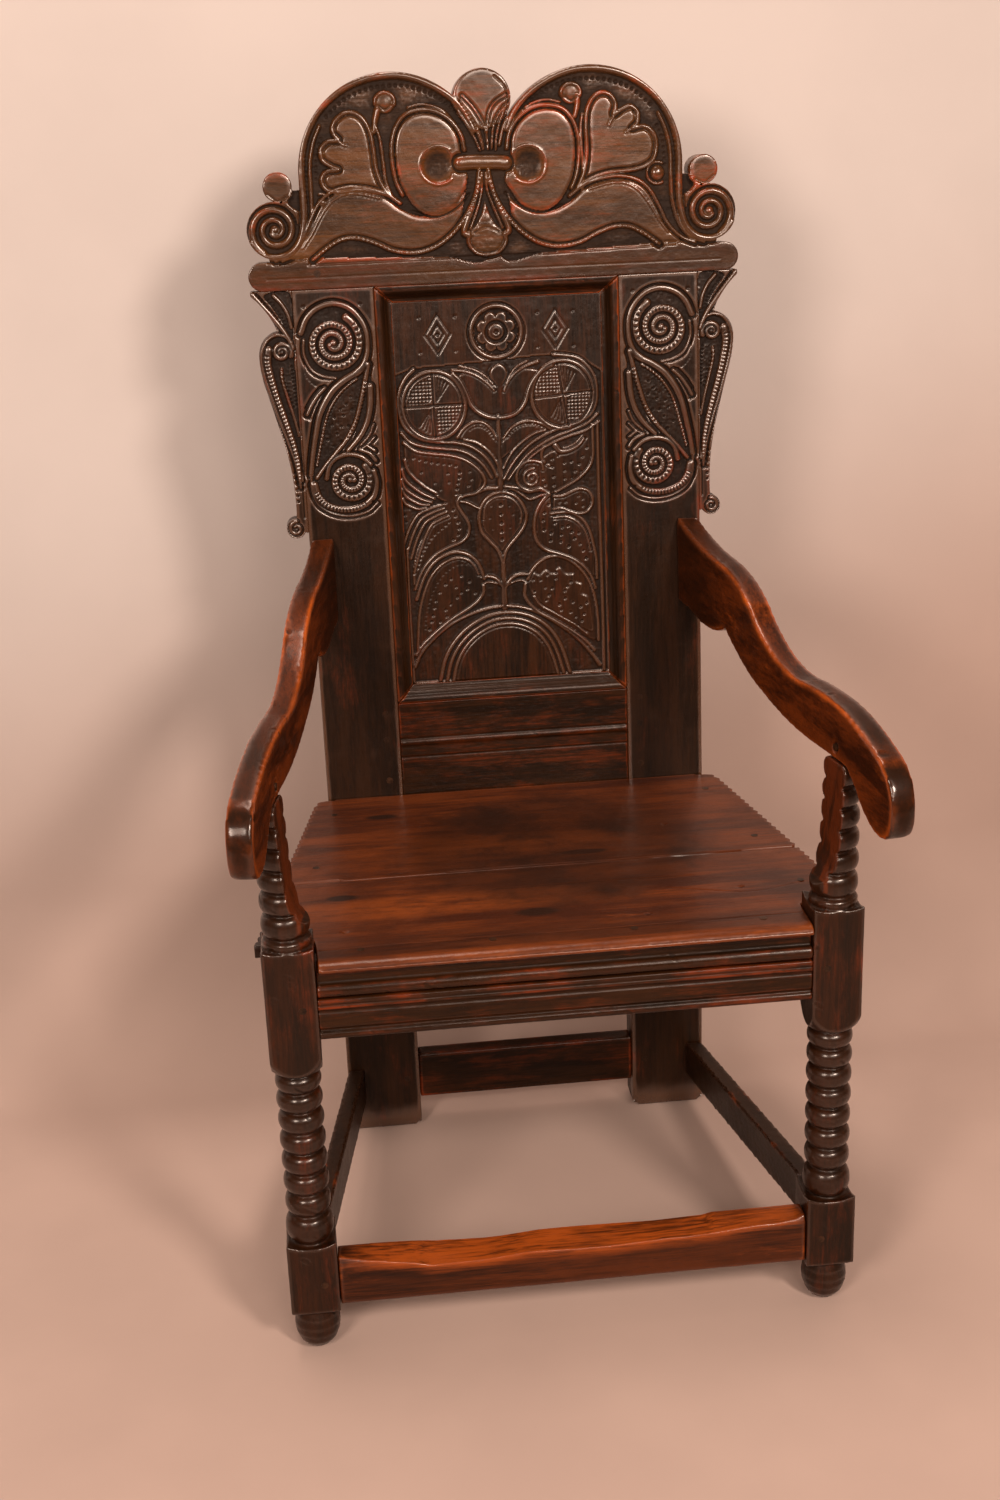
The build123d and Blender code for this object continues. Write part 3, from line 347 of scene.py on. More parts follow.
class Carving:
    """The carved face of a board: heights in millimetres, where 0 is the face and less is cut away.

    A cut's points are drawn as "across,up" pairs. Where a piece has two hands, the drawing is of one of
    them, and turn() makes what follows the other's: it is moved by inset, mirrored, and moved by shift."""

    def __init__(self, columns, rows, bold=1.0, seed=1):
        self.x, self.z = np.meshgrid(columns, rows)
        self.bold = bold                             # how much wider than drawn each ridge is cut
        self.seed = seed
        self.face = np.zeros(self.x.shape)           # the face and the ground cut into it
        self.raised = np.full(self.x.shape, -99.0)   # ridges left standing
        self.marks = np.zeros(self.x.shape)          # grooves, punched dots and nicks
        self.turn(1)

    def turn(self, hand, shift=0.0, inset=0.0):
        self.hand, self.shift, self.inset = hand, shift, inset

    def spots(self, points):
        """Drawn points as an array; points that were worked out are only made one."""
        if not isinstance(points, str):
            return np.array(points, float)
        drawn = np.array([pair.split(",") for pair in points.split()], float)
        drawn[:, 0] = self.hand * (drawn[:, 0] + self.inset) + self.shift
        return drawn

    def trace(self, points, closed=False, raw=False):
        line = self.spots(points)
        return line if raw else flowing(line, closed)

    def around(self, line, margin):
        """The part of the board that a line and its margin cover."""
        (x0, z0), (x1, z1) = line.min(0) - margin, line.max(0) + margin
        return np.ix_(np.flatnonzero((self.z[:, 0] >= z0) & (self.z[:, 0] <= z1)),
                      np.flatnonzero((self.x[0] >= x0) & (self.x[0] <= x1)))

    def near(self, line, margin):
        """That part, its distances to the line and how far along the line they are."""
        part = self.around(line, margin)
        return part, *nearest(self.x[part], self.z[part], line)

    def stand(self, part, inside, dome):
        self.raised[part] = np.maximum(self.raised[part], np.where(inside, dome, -99))

    def mark(self, part, depth):
        self.marks[part] = np.maximum(self.marks[part], depth)

    def field(self, points, level, edge=2.0, smooth=True):
        """A closed shape whose inside lies at a level, with its rim rounded over."""
        line = self.spots(points)
        line = flowing(line, True) if smooth else np.vstack([line, line[:1]])
        part, gap, _ = self.near(line, edge)
        rim = np.clip(gap / edge, 0, 1)
        round_over = 1 - np.sqrt(np.clip(1 - (1 - rim) ** 2, 0, 1))
        before = self.face[part]
        sunk = level - round_over * np.minimum(1.2, abs(level - before))
        self.face[part] = np.where(enclosed(self.x[part], self.z[part], line), sunk, before)

    def raise_ball(self, centre, radius, top, foot):
        """A dome left standing."""
        part = self.around(np.array([centre, centre], float), radius)
        gap = np.hypot(self.x[part] - centre[0], self.z[part] - centre[1]) / radius
        self.stand(part, gap < 1, top - (top - foot) * (1 - np.sqrt(np.clip(1 - gap**2, 0, 1))))

    def ridge(self, points, width=4.0, end_width=None, top=-0.4, foot=-2.4, bank=1.3, raw=False):
        """A rounded ridge left standing between two sloping cuts."""
        line = self.trace(points, raw=raw)
        end_width = (width if end_width is None else end_width) * self.bold
        width *= self.bold
        part, gap, along = self.near(line, max(width, end_width) / 2 + 2.5)
        half = (width + (end_width - width) * along) / 2
        self.face[part] = np.minimum(self.face[part], np.maximum(foot, foot + (gap - half) * bank))
        self.stand(part, gap < half, top - (top - foot) * (1 - np.clip(1 - (gap / half) ** 2.4, 0, 1) ** 0.6))

    def nicks(self, points, width=6.0, pitch=3.8, depth=0.7, raw=False):
        """Small gouge cuts across a ridge, all along it."""
        line = self.trace(points, raw=raw)
        part, gap, along = self.near(line, width)
        run = along * np.hypot(*np.diff(line, axis=0).T).sum() / pitch
        wave = np.clip(1.6 - 4.5 * np.abs(run % 1.0 - 0.5), 0, 1) * np.clip(1 - (2 * gap / width) ** 4, 0, 1)
        self.mark(part, depth * wave * (along > 0.02) * (along < 0.98))

    def groove(self, points, width=2.0, depth=1.0, end_width=None, raw=False):
        part, gap, along = self.near(self.trace(points, raw=raw), width)
        end_width = width if end_width is None else end_width
        half = (width + (end_width - width) * along) / 2
        self.mark(part, depth * np.clip(1 - (gap / half) ** 2, 0, 1))

    def dots(self, places, radius=1.9, depth=1.3):
        """Punched dots, each a little different."""
        for x, z in self.spots(places):
            size = radius * (0.85 + 0.3 * ((x * 12.9898 + z * 78.233) % 1.0))
            part = self.around(np.array([[x, z], [x, z]]), size + 1)
            gap = np.hypot(self.x[part] - x, self.z[part] - z)
            self.mark(part, depth * np.clip(1 - (gap / size) ** 2, 0, 1))

    def dotted(self, points, pitch=5.0, radius=1.4, depth=1.0):
        """A row of punched dots along a line."""
        line = self.trace(points)
        run = np.concatenate([[0], np.cumsum(np.hypot(*np.diff(line, axis=0).T))])
        stops = np.arange(pitch / 2, run[-1], pitch)
        self.dots(np.stack([np.interp(stops, run, line[:, axis]) for axis in (0, 1)], axis=1), radius, depth)

    def hatched(self, points, angle, pitch=3.2, depth=0.9):
        """Parallel cuts across a closed shape."""
        line = self.trace(points, True)
        part, gap, _ = self.near(line, 0)
        x, z = self.x[part], self.z[part]
        across = x * math.cos(math.radians(angle)) + z * math.sin(math.radians(angle))
        wave = np.abs((across / pitch) % 1.0 - 0.5) * 2
        self.mark(part, depth * np.clip(1.35 * wave - 0.35, 0, 1) * enclosed(x, z, line)
                  * np.clip(gap / 1.5, 0, 1))

    def heights(self, tool_marks=0.32, waver=0.14):
        """The finished face: rough where the ground was cut, and nowhere quite even."""
        cut = np.clip((-self.face - 1.6) / 1.5, 0, 1)
        coarse, fine, long_wave, short_wave = (
            uneven(self.x, self.z, size, self.seed + i) for i, size in enumerate((4.2, 2.2, 21, 6)))
        ground = self.face - tool_marks * cut * (np.abs(coarse) + 0.5 * np.abs(fine)) * 1.3
        level = np.maximum(ground, self.raised) - self.marks
        level -= waver * (1 + long_wave)
        level -= 0.45 * waver * (1 + short_wave)
        return np.minimum(level, 0)

# %% Values at a mesh's points


def read(items, what):
    """One property of all points of a mesh, a row to each."""
    values = np.empty(len(items) * 3)
    items.foreach_get(what, values)
    return values.reshape(-1, 3)


def carry(mesh, name, values):
    """Lets the mesh carry a value between 0 and 1 at each point, for the finishes."""
    layer = mesh.attributes[name] if name in mesh.attributes else mesh.attributes.new(name, "FLOAT", "POINT")
    layer.data.foreach_set("value", np.clip(values, 0, 1).astype(np.float32))


# %% A carved face becomes a closed solid


def blurred(heights, reach):
    """Each height averaged with its neighbours, over about reach cells."""
    for _ in range(3):
        for axis in (0, 1):
            size = heights.shape[axis]
            pad = [(reach, reach) if i == axis else (0, 0) for i in (0, 1)]
            run = np.cumsum(np.insert(np.pad(heights, pad, mode="edge"), 0, 0, axis=axis), axis=axis)
            heights = (run.take(range(2 * reach + 1, 2 * reach + 1 + size), axis)
                       - run.take(range(size), axis)) / (2 * reach + 1)
    return heights


def carved_solid(name, board, place, inside, thick, arris=0.6, middle=None):
    """A board with its carved front: cells inside the outline, walls round them and a flat back.

    place(x, z, out) gives world points in metres; inside(x, z) gives millimetres inside the outline."""
    heights = board.heights()
    rows, columns = heights.shape
    step = max(np.diff(board.x[0]).max(), 0.5)
    depth_in = inside(board.x, board.z) - arris
    kept = depth_in > -0.45 * step
    number = np.arange(rows * columns).reshape(rows, columns)
    corners = np.stack([number[:-1, :-1], number[:-1, 1:], number[1:, 1:], number[1:, :-1]],
                       axis=-1).reshape(-1, 4)
    held = kept.ravel()[corners]
    quads = corners[held.sum(axis=1) == 4]
    three = held.sum(axis=1) == 3
    triangles = corners[three][held[three]].reshape(-1, 3)
    # number the used points again, then find the edges that only one face has
    used = np.unique(np.concatenate([quads.ravel(), triangles.ravel()]))
    renumber = np.full(rows * columns, -1)
    renumber[used] = np.arange(len(used))
    quads, triangles = renumber[quads], renumber[triangles]
    starts = np.concatenate([quads.ravel(), triangles.ravel()])
    ends = np.concatenate([np.roll(quads, -1, axis=1).ravel(), np.roll(triangles, -1, axis=1).ravel()])
    count = len(used)
    rim = ~np.isin(starts * count + ends, ends * count + starts)
    follows = dict(zip(starts[rim].tolist(), ends[rim].tolist()))
    loops = []
    while follows:
        here = next(iter(follows))
        loop = []
        while here in follows:
            loop.append(here)
            here = follows.pop(here)
        loops.append(loop)
    loop = np.array(max(loops, key=len))
    x, z, out = board.x.ravel()[used], board.z.ravel()[used], heights.ravel()[used]

    def slope(px, pz):
        dx = (inside(px + 0.2, pz) - inside(px - 0.2, pz)) / 0.4
        dz = (inside(px, pz + 0.2) - inside(px, pz - 0.2)) / 0.4
        steep = np.maximum(np.hypot(dx, dz), 0.3)
        return dx / steep, dz / steep, steep

    lx, lz = x[loop], z[loop]
    for _ in range(4):
        gap = np.clip(inside(lx, lz) - arris, -step, step)
        dx, dz, steep = slope(lx, lz)
        lx, lz = lx - gap * dx / steep, lz - gap * dz / steep
    x[loop], z[loop] = lx, lz
    dx, dz, _ = slope(lx, lz)
    # walls: a rounded arris in front, another at the back
    levels = ((arris, np.minimum(out[loop] - 0.9 * arris, -arris)), (arris, -(middle or thick / 2)),
              (arris, -thick + arris), (0, -thick))
    points = [place(x, z, out)]
    rings = [loop]
    for push, level_out in levels:
        points.append(place(lx - dx * push, lz - dz * push, np.full(len(loop), level_out)))
        rings.append(count + len(loop) * (len(rings) - 1) + np.arange(len(loop)))
    walls = [np.stack([np.roll(near, -1), near, far, np.roll(far, -1)], axis=1)
             for near, far in zip(rings, rings[1:])]
    faces = quads.tolist() + triangles.tolist() + np.concatenate(walls).tolist() + [rings[-1][::-1].tolist()]
    mesh = bpy.data.meshes.new(name)
    mesh.from_pydata(np.concatenate(points).tolist(), [], faces)
    # how worn and how hollow each point is
    step_cells = max(1, int(round(1.6 / step)))
    open_face = np.where(depth_in > 0, heights, heights - 2.5)
    proud = heights - blurred(open_face, step_cells)
    wide = blurred(open_face, step_cells * 3)
    worn = np.clip(proud / 0.9, 0, 1).ravel()[used]
    hollow = (0.45 * np.clip(-heights / 4.5, 0, 1)
              + 0.55 * np.clip((wide - heights) / 1.6, 0, 1)).ravel()[used]
    extra = np.zeros(len(loop) * len(levels))
    carry(mesh, "worn", np.concatenate([worn, np.full(len(loop), 0.8), extra[len(loop):]]))
    carry(mesh, "hollow", np.concatenate([hollow, extra]))
    mesh.shade_smooth()
    mesh.polygons[len(faces) - 1].use_smooth = False          # the flat back
    print(name, "loops", len(loops), "faces", len(faces))
    return put(name, mesh)

# %% Mark what stands proud and what lies low


def worn_and_hollow(mesh, reach=4, worn_scale=0.25, hollow_scale=0.6):
    """Marks how far each point stands proud of its neighbours, or lies below them, in millimetres."""
    count = len(mesh.vertices)
    place = read(mesh.vertices, "co") / mm
    ends = np.empty(len(mesh.edges) * 2, int)
    mesh.edges.foreach_get("vertices", ends)
    a, b = ends[0::2], ends[1::2]
    links = np.maximum(np.bincount(a, minlength=count) + np.bincount(b, minlength=count), 1)[:, None]
    smooth = place.copy()
    for _ in range(reach):
        total = np.stack([np.bincount(a, smooth[b, i], count) + np.bincount(b, smooth[a, i], count)
                          for i in range(3)], axis=1)
        smooth += 0.6 * (total / links - smooth)
    proud = ((place - smooth) * read(mesh.vertex_normals, "vector")).sum(axis=1)
    carry(mesh, "worn", proud / worn_scale)
    carry(mesh, "hollow", -proud / hollow_scale)

# %% [markdown]
# ## The carved panel
# The panel fills the back between mouldings. Tulip, pod and dotted leaves grow from a stem that stands
# on an arch, under two hatched roundels and a rosette. Its ridges are about 4 mm wide and the ground is
# 3 mm deep, so the grid's cells are just over 1 mm. Plain lozenges stand beside the rosette.

# %% The sizes of the carved boards
back_outer_mm = round(back_outer / mm, 2)
back_inner_mm = round(back_inner / mm, 2)
moulding_width = 19.5
panel_recess, panel_thick = 12.0, 14.0
back_rail_top = 117.5                    # top of the rail below the panel, up the rake
panel_foot = back_rail_top + moulding_width       # where the panel shows, up the rake from the bend
panel_half = back_inner_mm - moulding_width
panel_high = back_rise / mm - back_rail_top - 2 * moulding_width
cell = 1.06                                       # spacing of the grid on the panel and the crest
tongue = 0.6                                      # how much the hidden tongue is short of its groove
print("panel", 2 * panel_half, "by", panel_high)

# %% Cut the panel's ground


def cut_ground(board):
    """The sunk ground under the plain top strip, and the plain foot inside the arch."""
    ground = -3.0
    board.field("""-118,2 -118,356 -96,363 -60,364.5 -30,366 0,367.5 30,369.5 62,371 88,368 116,350
        116,2""", ground, 1.5, smooth=False)
    board.field("-66,0 -60,24 -50,40 -36,53 -18,62 0,64 17,60 31,50 43,34 50,16 55,0", -0.9, 2.0,
        smooth=False)

# %% Cut the rosette


def cut_rosette(board):
    """The rosette: a ring, eight petals and a ball at its heart."""
    heart = (-1.5, 399)
    board.ridge(circle_line(heart, 28.4), 4.6, top=-0.1, foot=-3.2, raw=True)
    board.field(circle_line(heart, 24.5), -3.8, 1.0, smooth=False)
    turns = np.linspace(0, 2 * math.pi, 96, endpoint=False)
    petals = 16.6 + 6.0 * np.abs(np.sin(4 * turns)) ** 0.6
    board.field([(heart[0] + r * math.cos(a), heart[1] + r * math.sin(a)) for r, a in zip(petals, turns)],
                -0.9, 1.2, smooth=False)
    board.groove(circle_line(heart, 10.8), 5.2, 2.6, raw=True)
    board.raise_ball(heart, 8.8, -0.2, -3.6)
    board.dots([heart], 3.6, 2.2)

# %% Cut the lozenges


def cut_lozenges(board):
    """Plain lozenges either side of the rosette, cut with a V tool."""
    for side in (-1, 1):
        middle = (side * 66 - 1, 399)
        for size, depth in ((19, 1.1), (9, 0.9)):
            corners = [(middle[0] - size * 0.75, middle[1]), (middle[0], middle[1] + size * 1.15),
                       (middle[0] + size * 0.75, middle[1]), (middle[0], middle[1] - size * 1.15)]
            for start, end in zip(corners, corners[1:] + corners[:1]):
                board.groove([start, end], 2.8, depth)
        board.dots([middle], 2.6, 1.4)
        board.dots([(middle[0] + dx, middle[1] + dz) for dx in (-20, 20) for dz in (-19, 19)], 2.0, 1.2)

# %% Cut the roundels


def cut_roundels(board):
    """Roundels with hatched quarters."""
    for centre, lean in (((-75, 321), 0.02), ((71.5, 326), 0.16)):
        ring = circle_line(centre, 35.5, 38)
        board.field(ring, -1.0, 2.0, smooth=False)
        board.ridge(ring, 4.6, top=-0.2, foot=-3.0, raw=True)
        down = np.array([math.sin(lean), -math.cos(lean)])
        over = np.array([math.cos(lean * 0.4), math.sin(lean * 0.4)])
        middle = np.array(centre, float)
        board.groove([middle - down * 35, middle + down * 35], 3.0, 1.6)
        board.groove([middle - over * 33, middle + over * 33], 3.0, 1.6)
        for side in (-1, 1):
            quarter = [middle + (-over * math.cos(angle) * 30 * side - down * math.sin(angle) * 32 * side)
                       for angle in (math.pi / 2 * step / 6 for step in range(7))]
            quarter.append(middle + (-over * 4 - down * 4) * side)
            board.hatched(quarter, 0, 4.0, 1.1)
            board.hatched(quarter, 90, 4.0, 1.1)
            # the other quarters: reeds that fan from the middle beside the upright cut
            for reed in range(5):
                foot = middle + over * side * 3 - down * side * 3
                tip = middle + over * side * (3 + reed * 3.6) - down * side * (33 - reed * 2.5)
                board.groove([foot, tip], 1.2, 0.8, end_width=2.4)

# %% Cut the tulip and the stem


def cut_tulip(board):
    """The tulip between the roundels."""
    board.field("""-47,351 -37,331 -30,316 -14,306 0,304 14,307 27,317 35,335 47,352 28,357 13,349 0,338
        -14,347 -28,356""", -1.2, 1.5)
    board.ridge("""-52,355 -44,346 -38,333 -33,320 -25,311 -13,305 0,303.5 14,306 23,312 29,321 33,333
        39,344 48,353 60,359""", 4.2, top=-0.1)
    board.ridge("-52,359 -38,357 -26,352 -15,344 -6,334", 3.6, 2.0)
    board.ridge("-44,363 -27,358 -15,350 -7,341", 2.6, 1.6, top=-0.8)
    board.ridge("44,364 29,359 18,352 10,343 5,333", 3.6, 2.0)
    board.ridge("32,365 20,359 12,350 7,341", 2.6, 1.6, top=-0.8)
    board.field("0,364 8,358 9,349 4,340 0,330 -4,340 -10,349 -9,358", -0.8, 3.0)
    board.groove("8,361 11,353 6,343", 1.6, 0.9)
    board.groove("-11,360 -13,352 -7,343", 1.6, 0.9)


def cut_stem(board):
    """The stem, above and below the pod."""
    board.ridge("-3,306 -3,285 -3.5,262 -3,240 -3,221", 3.6, 6.0, top=-0.2)
    board.ridge("-4,140 -4,120 -4,100 -4,84", 4.0, 6.0, top=-0.3)

# %% Cut the beaded half leaves


def cut_half_leaves(board):
    """Beaded half leaves over the bands."""
    board.field("-50,284 -42,294 -31,300 -20,299 -10,290 -4,276 -4,258 -12,262 -22,271 -36,279", -1.0, 2.0)
    board.ridge("-50,284 -42,294 -31,300 -20,299 -11,291 -5,279", 3.6, 2.4, top=-0.2)
    board.dotted("-37,291 -28,295 -19,293 -12,286 -8,279", 3.6, 1.3, 1.0)
    board.field("57,288 46,294 34,298 22,297 10,290 1,278 -2,258 6,262 16,270 30,280", -1.0, 2.0)
    board.ridge("57,288 47,294 35,298 23,297 11,291 2,280", 3.6, 2.4, top=-0.2)
    board.dotted("46,290 35,294 24,293 14,288 6,280", 3.8, 1.3, 1.0)

# %% Cut the sweeping bands


def cut_bands(board):
    """The three bands each side that sweep round the roundels into the stem."""
    board.ridge("""-96,362 -106,352 -113,338 -115,322 -112,305 -104,293 -90,284 -72,280 -52,278 -36,273
        -22,263 -13,251 -7,237""", 4.0, 2.6, top=-0.1)
    board.ridge("-113,292 -103,281 -86,275 -66,272 -48,269 -34,262 -22,251 -13,236", 3.4, 2.4)
    board.ridge("-111,281 -98,271 -80,267 -60,264 -45,259 -34,252 -25,243 -21,234 -23,227 -31,220", 3.8,
        3.0, top=-0.1)
    board.ridge("-42,281 -29,277 -17,268 -9,258 -4,246", 3.0, 2.0)
    board.ridge("""62,371 86,367 99,358 108,343 110,326 108,312 101,301 86,293 66,288 48,281 32,272 18,259
        8,246 1,234""", 4.0, 2.6, top=-0.1)
    board.ridge("110,302 98,292 80,285 62,279 45,271 30,261 17,247 6,233", 3.4, 2.4)
    board.ridge("111,293 96,284 78,279 60,273 44,265 31,256 21,246", 3.6, 2.4)
    board.ridge("50,287 38,284 26,277 14,267 6,256 1,246", 3.0, 2.0)

# %% Cut the left leaves


def cut_upper_left(board):
    """The upper left leaf, with its bundle of veins."""
    board.field("""-110,279 -98,269 -80,265 -60,262 -44,257 -33,249 -25,240 -25,230 -33,221 -45,215 -56,208
        -72,214 -88,228 -104,241 -110,258""", -1.1, 2.0)
    board.dotted("-104,265 -90,260 -72,256 -56,253 -48,249", 7.0, 1.7, 1.3)
    board.dotted("-49,248 -50,240 -53,228 -55,216", 6.3, 2.0, 1.6)
    board.dots("-78,234 -62,234 -63,244 -38,245 -40,229 -72,226 -93,247 -36,236", 1.7)
    for vein in ("-111,262 -103,243 -77,222", "-115,251 -107,234 -80,216", "-116,240 -108,225 -83,212",
                 "-116,229 -106,216 -86,209", "-116,218 -106,208 -90,206"):
        start, bend, end = board.spots(vein)
        middle = ((start[0] + bend[0]) / 2 - 1.5, (start[1] + bend[1]) / 2 - 1)
        board.ridge([start, middle, bend, ((bend[0] + end[0]) / 2, (bend[1] + end[1]) / 2 - 2), end], 3.6,
                    2.6)


def cut_middle_left(board):
    """The middle left leaf, with the second bundle."""
    board.field("""-54,216 -54,206 -47,195 -42,184 -43,174 -50,166 -66,160 -80,153 -92,142 -101,128 -107,112
        -109,128 -105,152 -97,170 -82,190 -68,202 -70,210""", -1.1, 2.0)
    board.ridge("""-50,217 -54,209 -50,200 -44,190 -41.5,181 -44,171 -52,164 -66,159 -80,152 -92,141 -100,129
        -107,112""", 3.8, 3.0, top=-0.1)
    board.dotted("-60,206 -57,196 -53.5,186 -53.5,177 -57,170 -64,166", 7.6, 2.1, 1.6)
    board.dotted("-62,190 -70,183 -82,174 -91,163 -98,150 -105,132", 5.5, 1.5, 1.2)
    board.dots("-72,211 -67,211 -113,191 -114,199 -108,206", 1.8)
    for vein in ("-72,208 -100,198 -117,166", "-70,204 -96,193 -113,158", "-67,200 -92,188 -110,148",
                 "-65,195 -86,184 -107,132"):
        start, bend, end = board.spots(vein)
        board.ridge([start, ((start[0] + bend[0]) / 2, (start[1] + bend[1]) / 2 + 1.5), bend,
                     ((bend[0] + end[0]) / 2 - 1.5, (bend[1] + end[1]) / 2 + 1), end], 3.4, 2.4)

# %% Cut the pod


def cut_pod(board):
    """The pod in the middle, with its row of seeds."""
    pod = """-4,138 -9,152 -18,163 -27,175 -29.5,190 -26,205 -17,215 -4,219 9,216 19,207 24.5,194 23,181
        15,169 5,158 -1,149"""
    board.field(pod, -1.2, 2.0)
    board.ridge(and_back(pod), 4.0, top=0.0, foot=-3.2)
    board.ridge("-24,190 -22,203 -14,211.5 -3,214 8,211 16,203 19.5,193 18,183", 2.6, top=-0.7, foot=-2.0)
    board.dots("-4,205 -4,194 -4,184 -4,174 -4,165", 2.4, 1.7)
    board.dots("-15,204 6,203 10,193 6,178 -14,177 -17,190", 1.4, 0.9)


def cut_points(board):
    """Points that reach from the stem out to the side leaves."""
    board.ridge("-8,224 -20,224 -34,219 -46,217 -54,211", 4.4, 2.6, top=-0.3)
    board.ridge("-53,211 -44,210 -35,205 -28,201", 2.8, 2.2)
    board.ridge("2,225 14,223 28,218 42,219 52,215", 4.4, 2.6, top=-0.3)
    board.ridge("0,220 10,222 22,214 30,209 44,213 52,214", 3.0, 2.2)

# %% Cut the right leaves


def cut_upper_right(board):
    """The upper right leaf, with its curl."""
    board.field("""101,288 103,268 103,252 98,240 86,229 70,220 56,214 45,217 30,218 19,225 17,240 24,250
        40,252 54,262 70,266 84,272""", -1.2, 2.0)
    board.ridge("104,290 104,270 103.5,254 99,242 88,231 74,223 60,216", 3.8, 3.0, top=-0.1)
    board.ridge("61,269 67,262 78,263 88,268 94,275", 6.0, 3.0, top=0.0, foot=-2.6)
    board.ridge("48,268 45,261 46,253 54,246", 3.0, 2.2)
    board.ridge("46,243 44,250 33,253 23,250 16.5,241 16,231 21,223 31,219 42,221 53,213", 3.6, 2.8, top=-0.1)
    board.ridge(spiral_line((33, 233), 11, 4, 80, 1.3), 3.2, 2.2, top=-0.4, raw=True)
    board.dots([(33, 234)], 2.2, 1.0)
    board.dots("""57,254 57,245 58,234 58,224 50,249 71,249 79,250 88,247 92,255 97,265 83,239 71,240 71,231
        79,231 46,232 48,225 96,276 64,257 90,238""", 2.0, 1.4)


def cut_paddle(board):
    """The paddle-shaped leaf at the right edge."""
    paddle = "58,211 68,211 78,215 88,218 97,215 102,207 101,198 95,191 86,189.5 75,193 65,197 57,196"
    board.field(paddle, -1.2, 2.0)
    board.ridge(paddle, 3.4, 2.8, top=-0.1)
    board.dots("71,204 83,202 91,206 91,198 86,210 64,204", 1.9, 1.3)


def cut_middle_right(board):
    """The middle right leaf."""
    board.field("""53,213 44,206 38,196 35,184 34,172 38,158 50,147 66,142 80,135 92,124 100,110 103,122
        103,142 99,162 92,177 80,187 66,190 56,190 54,200""", -1.2, 2.0)
    board.ridge("""52,214 44,206 38,196 34.5,184 34,171 38,158 47,149 62,143.5 77,137 90,127 99,114
        103,101""", 4.4, 3.2, top=0.0)
    board.ridge("54,191 66,192 79,190 91,181 98,168 102,152 105,134 105,112", 3.6, 2.8, top=-0.1)
    board.ridge("57,186 70,186.5 82,181 91,171 96,158 98,146", 2.8, 2.0, top=-0.6)
    board.dots("""46,193 44,184 51,202 53,169 52,160 66,175 65,166 64,158 73,176 77,169 85,167 80,161 86,154
        90,146 93,137 45,173 58,180 73,152""", 2.2, 1.6)

# %% Cut the lower leaves


def cut_side_stems(board):
    """The stems that run out to the lower leaves."""
    board.ridge("-4,108 -12,118 -21,122 -30,121", 4.2, 3.0, top=-0.3)
    board.ridge("-4,108 -12,113 -22,115 -30,113", 2.0, 1.6, top=-1.0)
    board.ridge("-3,108 5,118 14,122 26,122", 4.2, 3.0, top=-0.3)
    board.ridge("-3,108 6,113 15,115 24,112", 2.0, 1.6, top=-1.0)


def cut_lower_left(board):
    """The lower left leaf."""
    board.field("""-28,122 -33,134 -43,144 -57,148 -72,144 -85,133 -95,116 -103,92 -106,62 -107,38 -92,54
        -74,68 -52,82 -34,94 -29,104""", -1.2, 2.0)
    board.ridge("-106,100 -100,117 -93,131 -83,143 -71,150 -58,153 -45,149.5 -35,141 -30,131 -27,120",
        3.6, 4.2, top=0.0)
    board.ridge("""-108,36 -106,62 -103,86 -97,107 -89,124 -79,136 -68,143 -56,146 -45,143 -37,135
        -33,126""", 2.8, 3.2, top=-0.4)
    board.ridge("-28,112 -29,103 -35,94 -46,86 -60,78 -75,68 -90,56 -102,45 -110,34", 4.0, 3.4, top=-0.1)
    board.dotted("-44,138 -54,138.5 -64,135 -75,126 -84,113 -91,97 -96,80 -98,62", 5.2, 1.3, 1.0)
    board.dots("""-53,125 -65,122 -72,116 -79,107 -84,97 -86,89 -88,80 -90,73 -47,109 -54,105 -59,100 -67,92
        -73,86 -72,78 -44,118 -60,112 -38,104 -80,72 -93,64""", 2.0, 1.4)


def cut_lower_right(board):
    """The lower right leaf, with a lobed inner edge."""
    board.field("""26,121 33,131 44,138 57,140 70,136 84,125 94,111 100,95 103,70 103,40 88,44 72,56 54,68
        38,78 26,90 22,104""", -1.9, 2.0)
    board.field("""24,116 30,124 38,120 45,126 53,121 61,128 69,120 78,119 80,110 88,106 86,96 95,90 98,72
        99,50 86,54 70,62 56,74 42,84 32,94 26,104""", -0.9, 2.0)
    board.ridge("24,116 29,126 39,136 51,141 64,140 78,132 90,119 98,104 103,84 105,60 105,38", 3.6,
        3.0, top=0.0)
    board.ridge("21,110 20,98 26,86 36,76 49,68 63,59 77,49 90,38 100,26", 4.0, 3.2, top=-0.1)
    board.ridge("31,95 38,84 50,76 64,67 78,58 92,46", 2.4, 1.8, top=-0.5)
    board.dots("""30,115 31,101 39,114 57,122 57,115 52,104 48,96 45,90 74,110 70,105 67,100 67,91 76,86
        85,80 89,71 79,68 62,77 73,74 86,63 60,84 44,105 92,84 47,120""", 2.1, 1.5)

# %% Cut the arches and edge lines


def cut_arcs(board):
    """The wide arcs and the arch at the foot."""
    board.ridge("-112,20 -104,36 -88,53 -68,68 -46,78 -24,84 -6,86", 4.0, 3.2, top=-0.2)
    board.ridge("-2,86 16,83 36,75 56,62 76,46 94,26 106,8", 3.2, 4.0, top=-0.2)
    arch = board.spots("-83,2 -77,25 -66,45 -49,62 -27,74 -3,78 20,74 40,63 54,47 63,27 70,2")
    for size, width in ((1.0, 4.2), (0.9, 3.8), (0.805, 4.0)):
        board.ridge([(x * size - 3 * (1 - size), z * (0.16 + 0.84 * size) - 3 * (1 - size)) for x,
                     z in arch], width, top=-0.3)


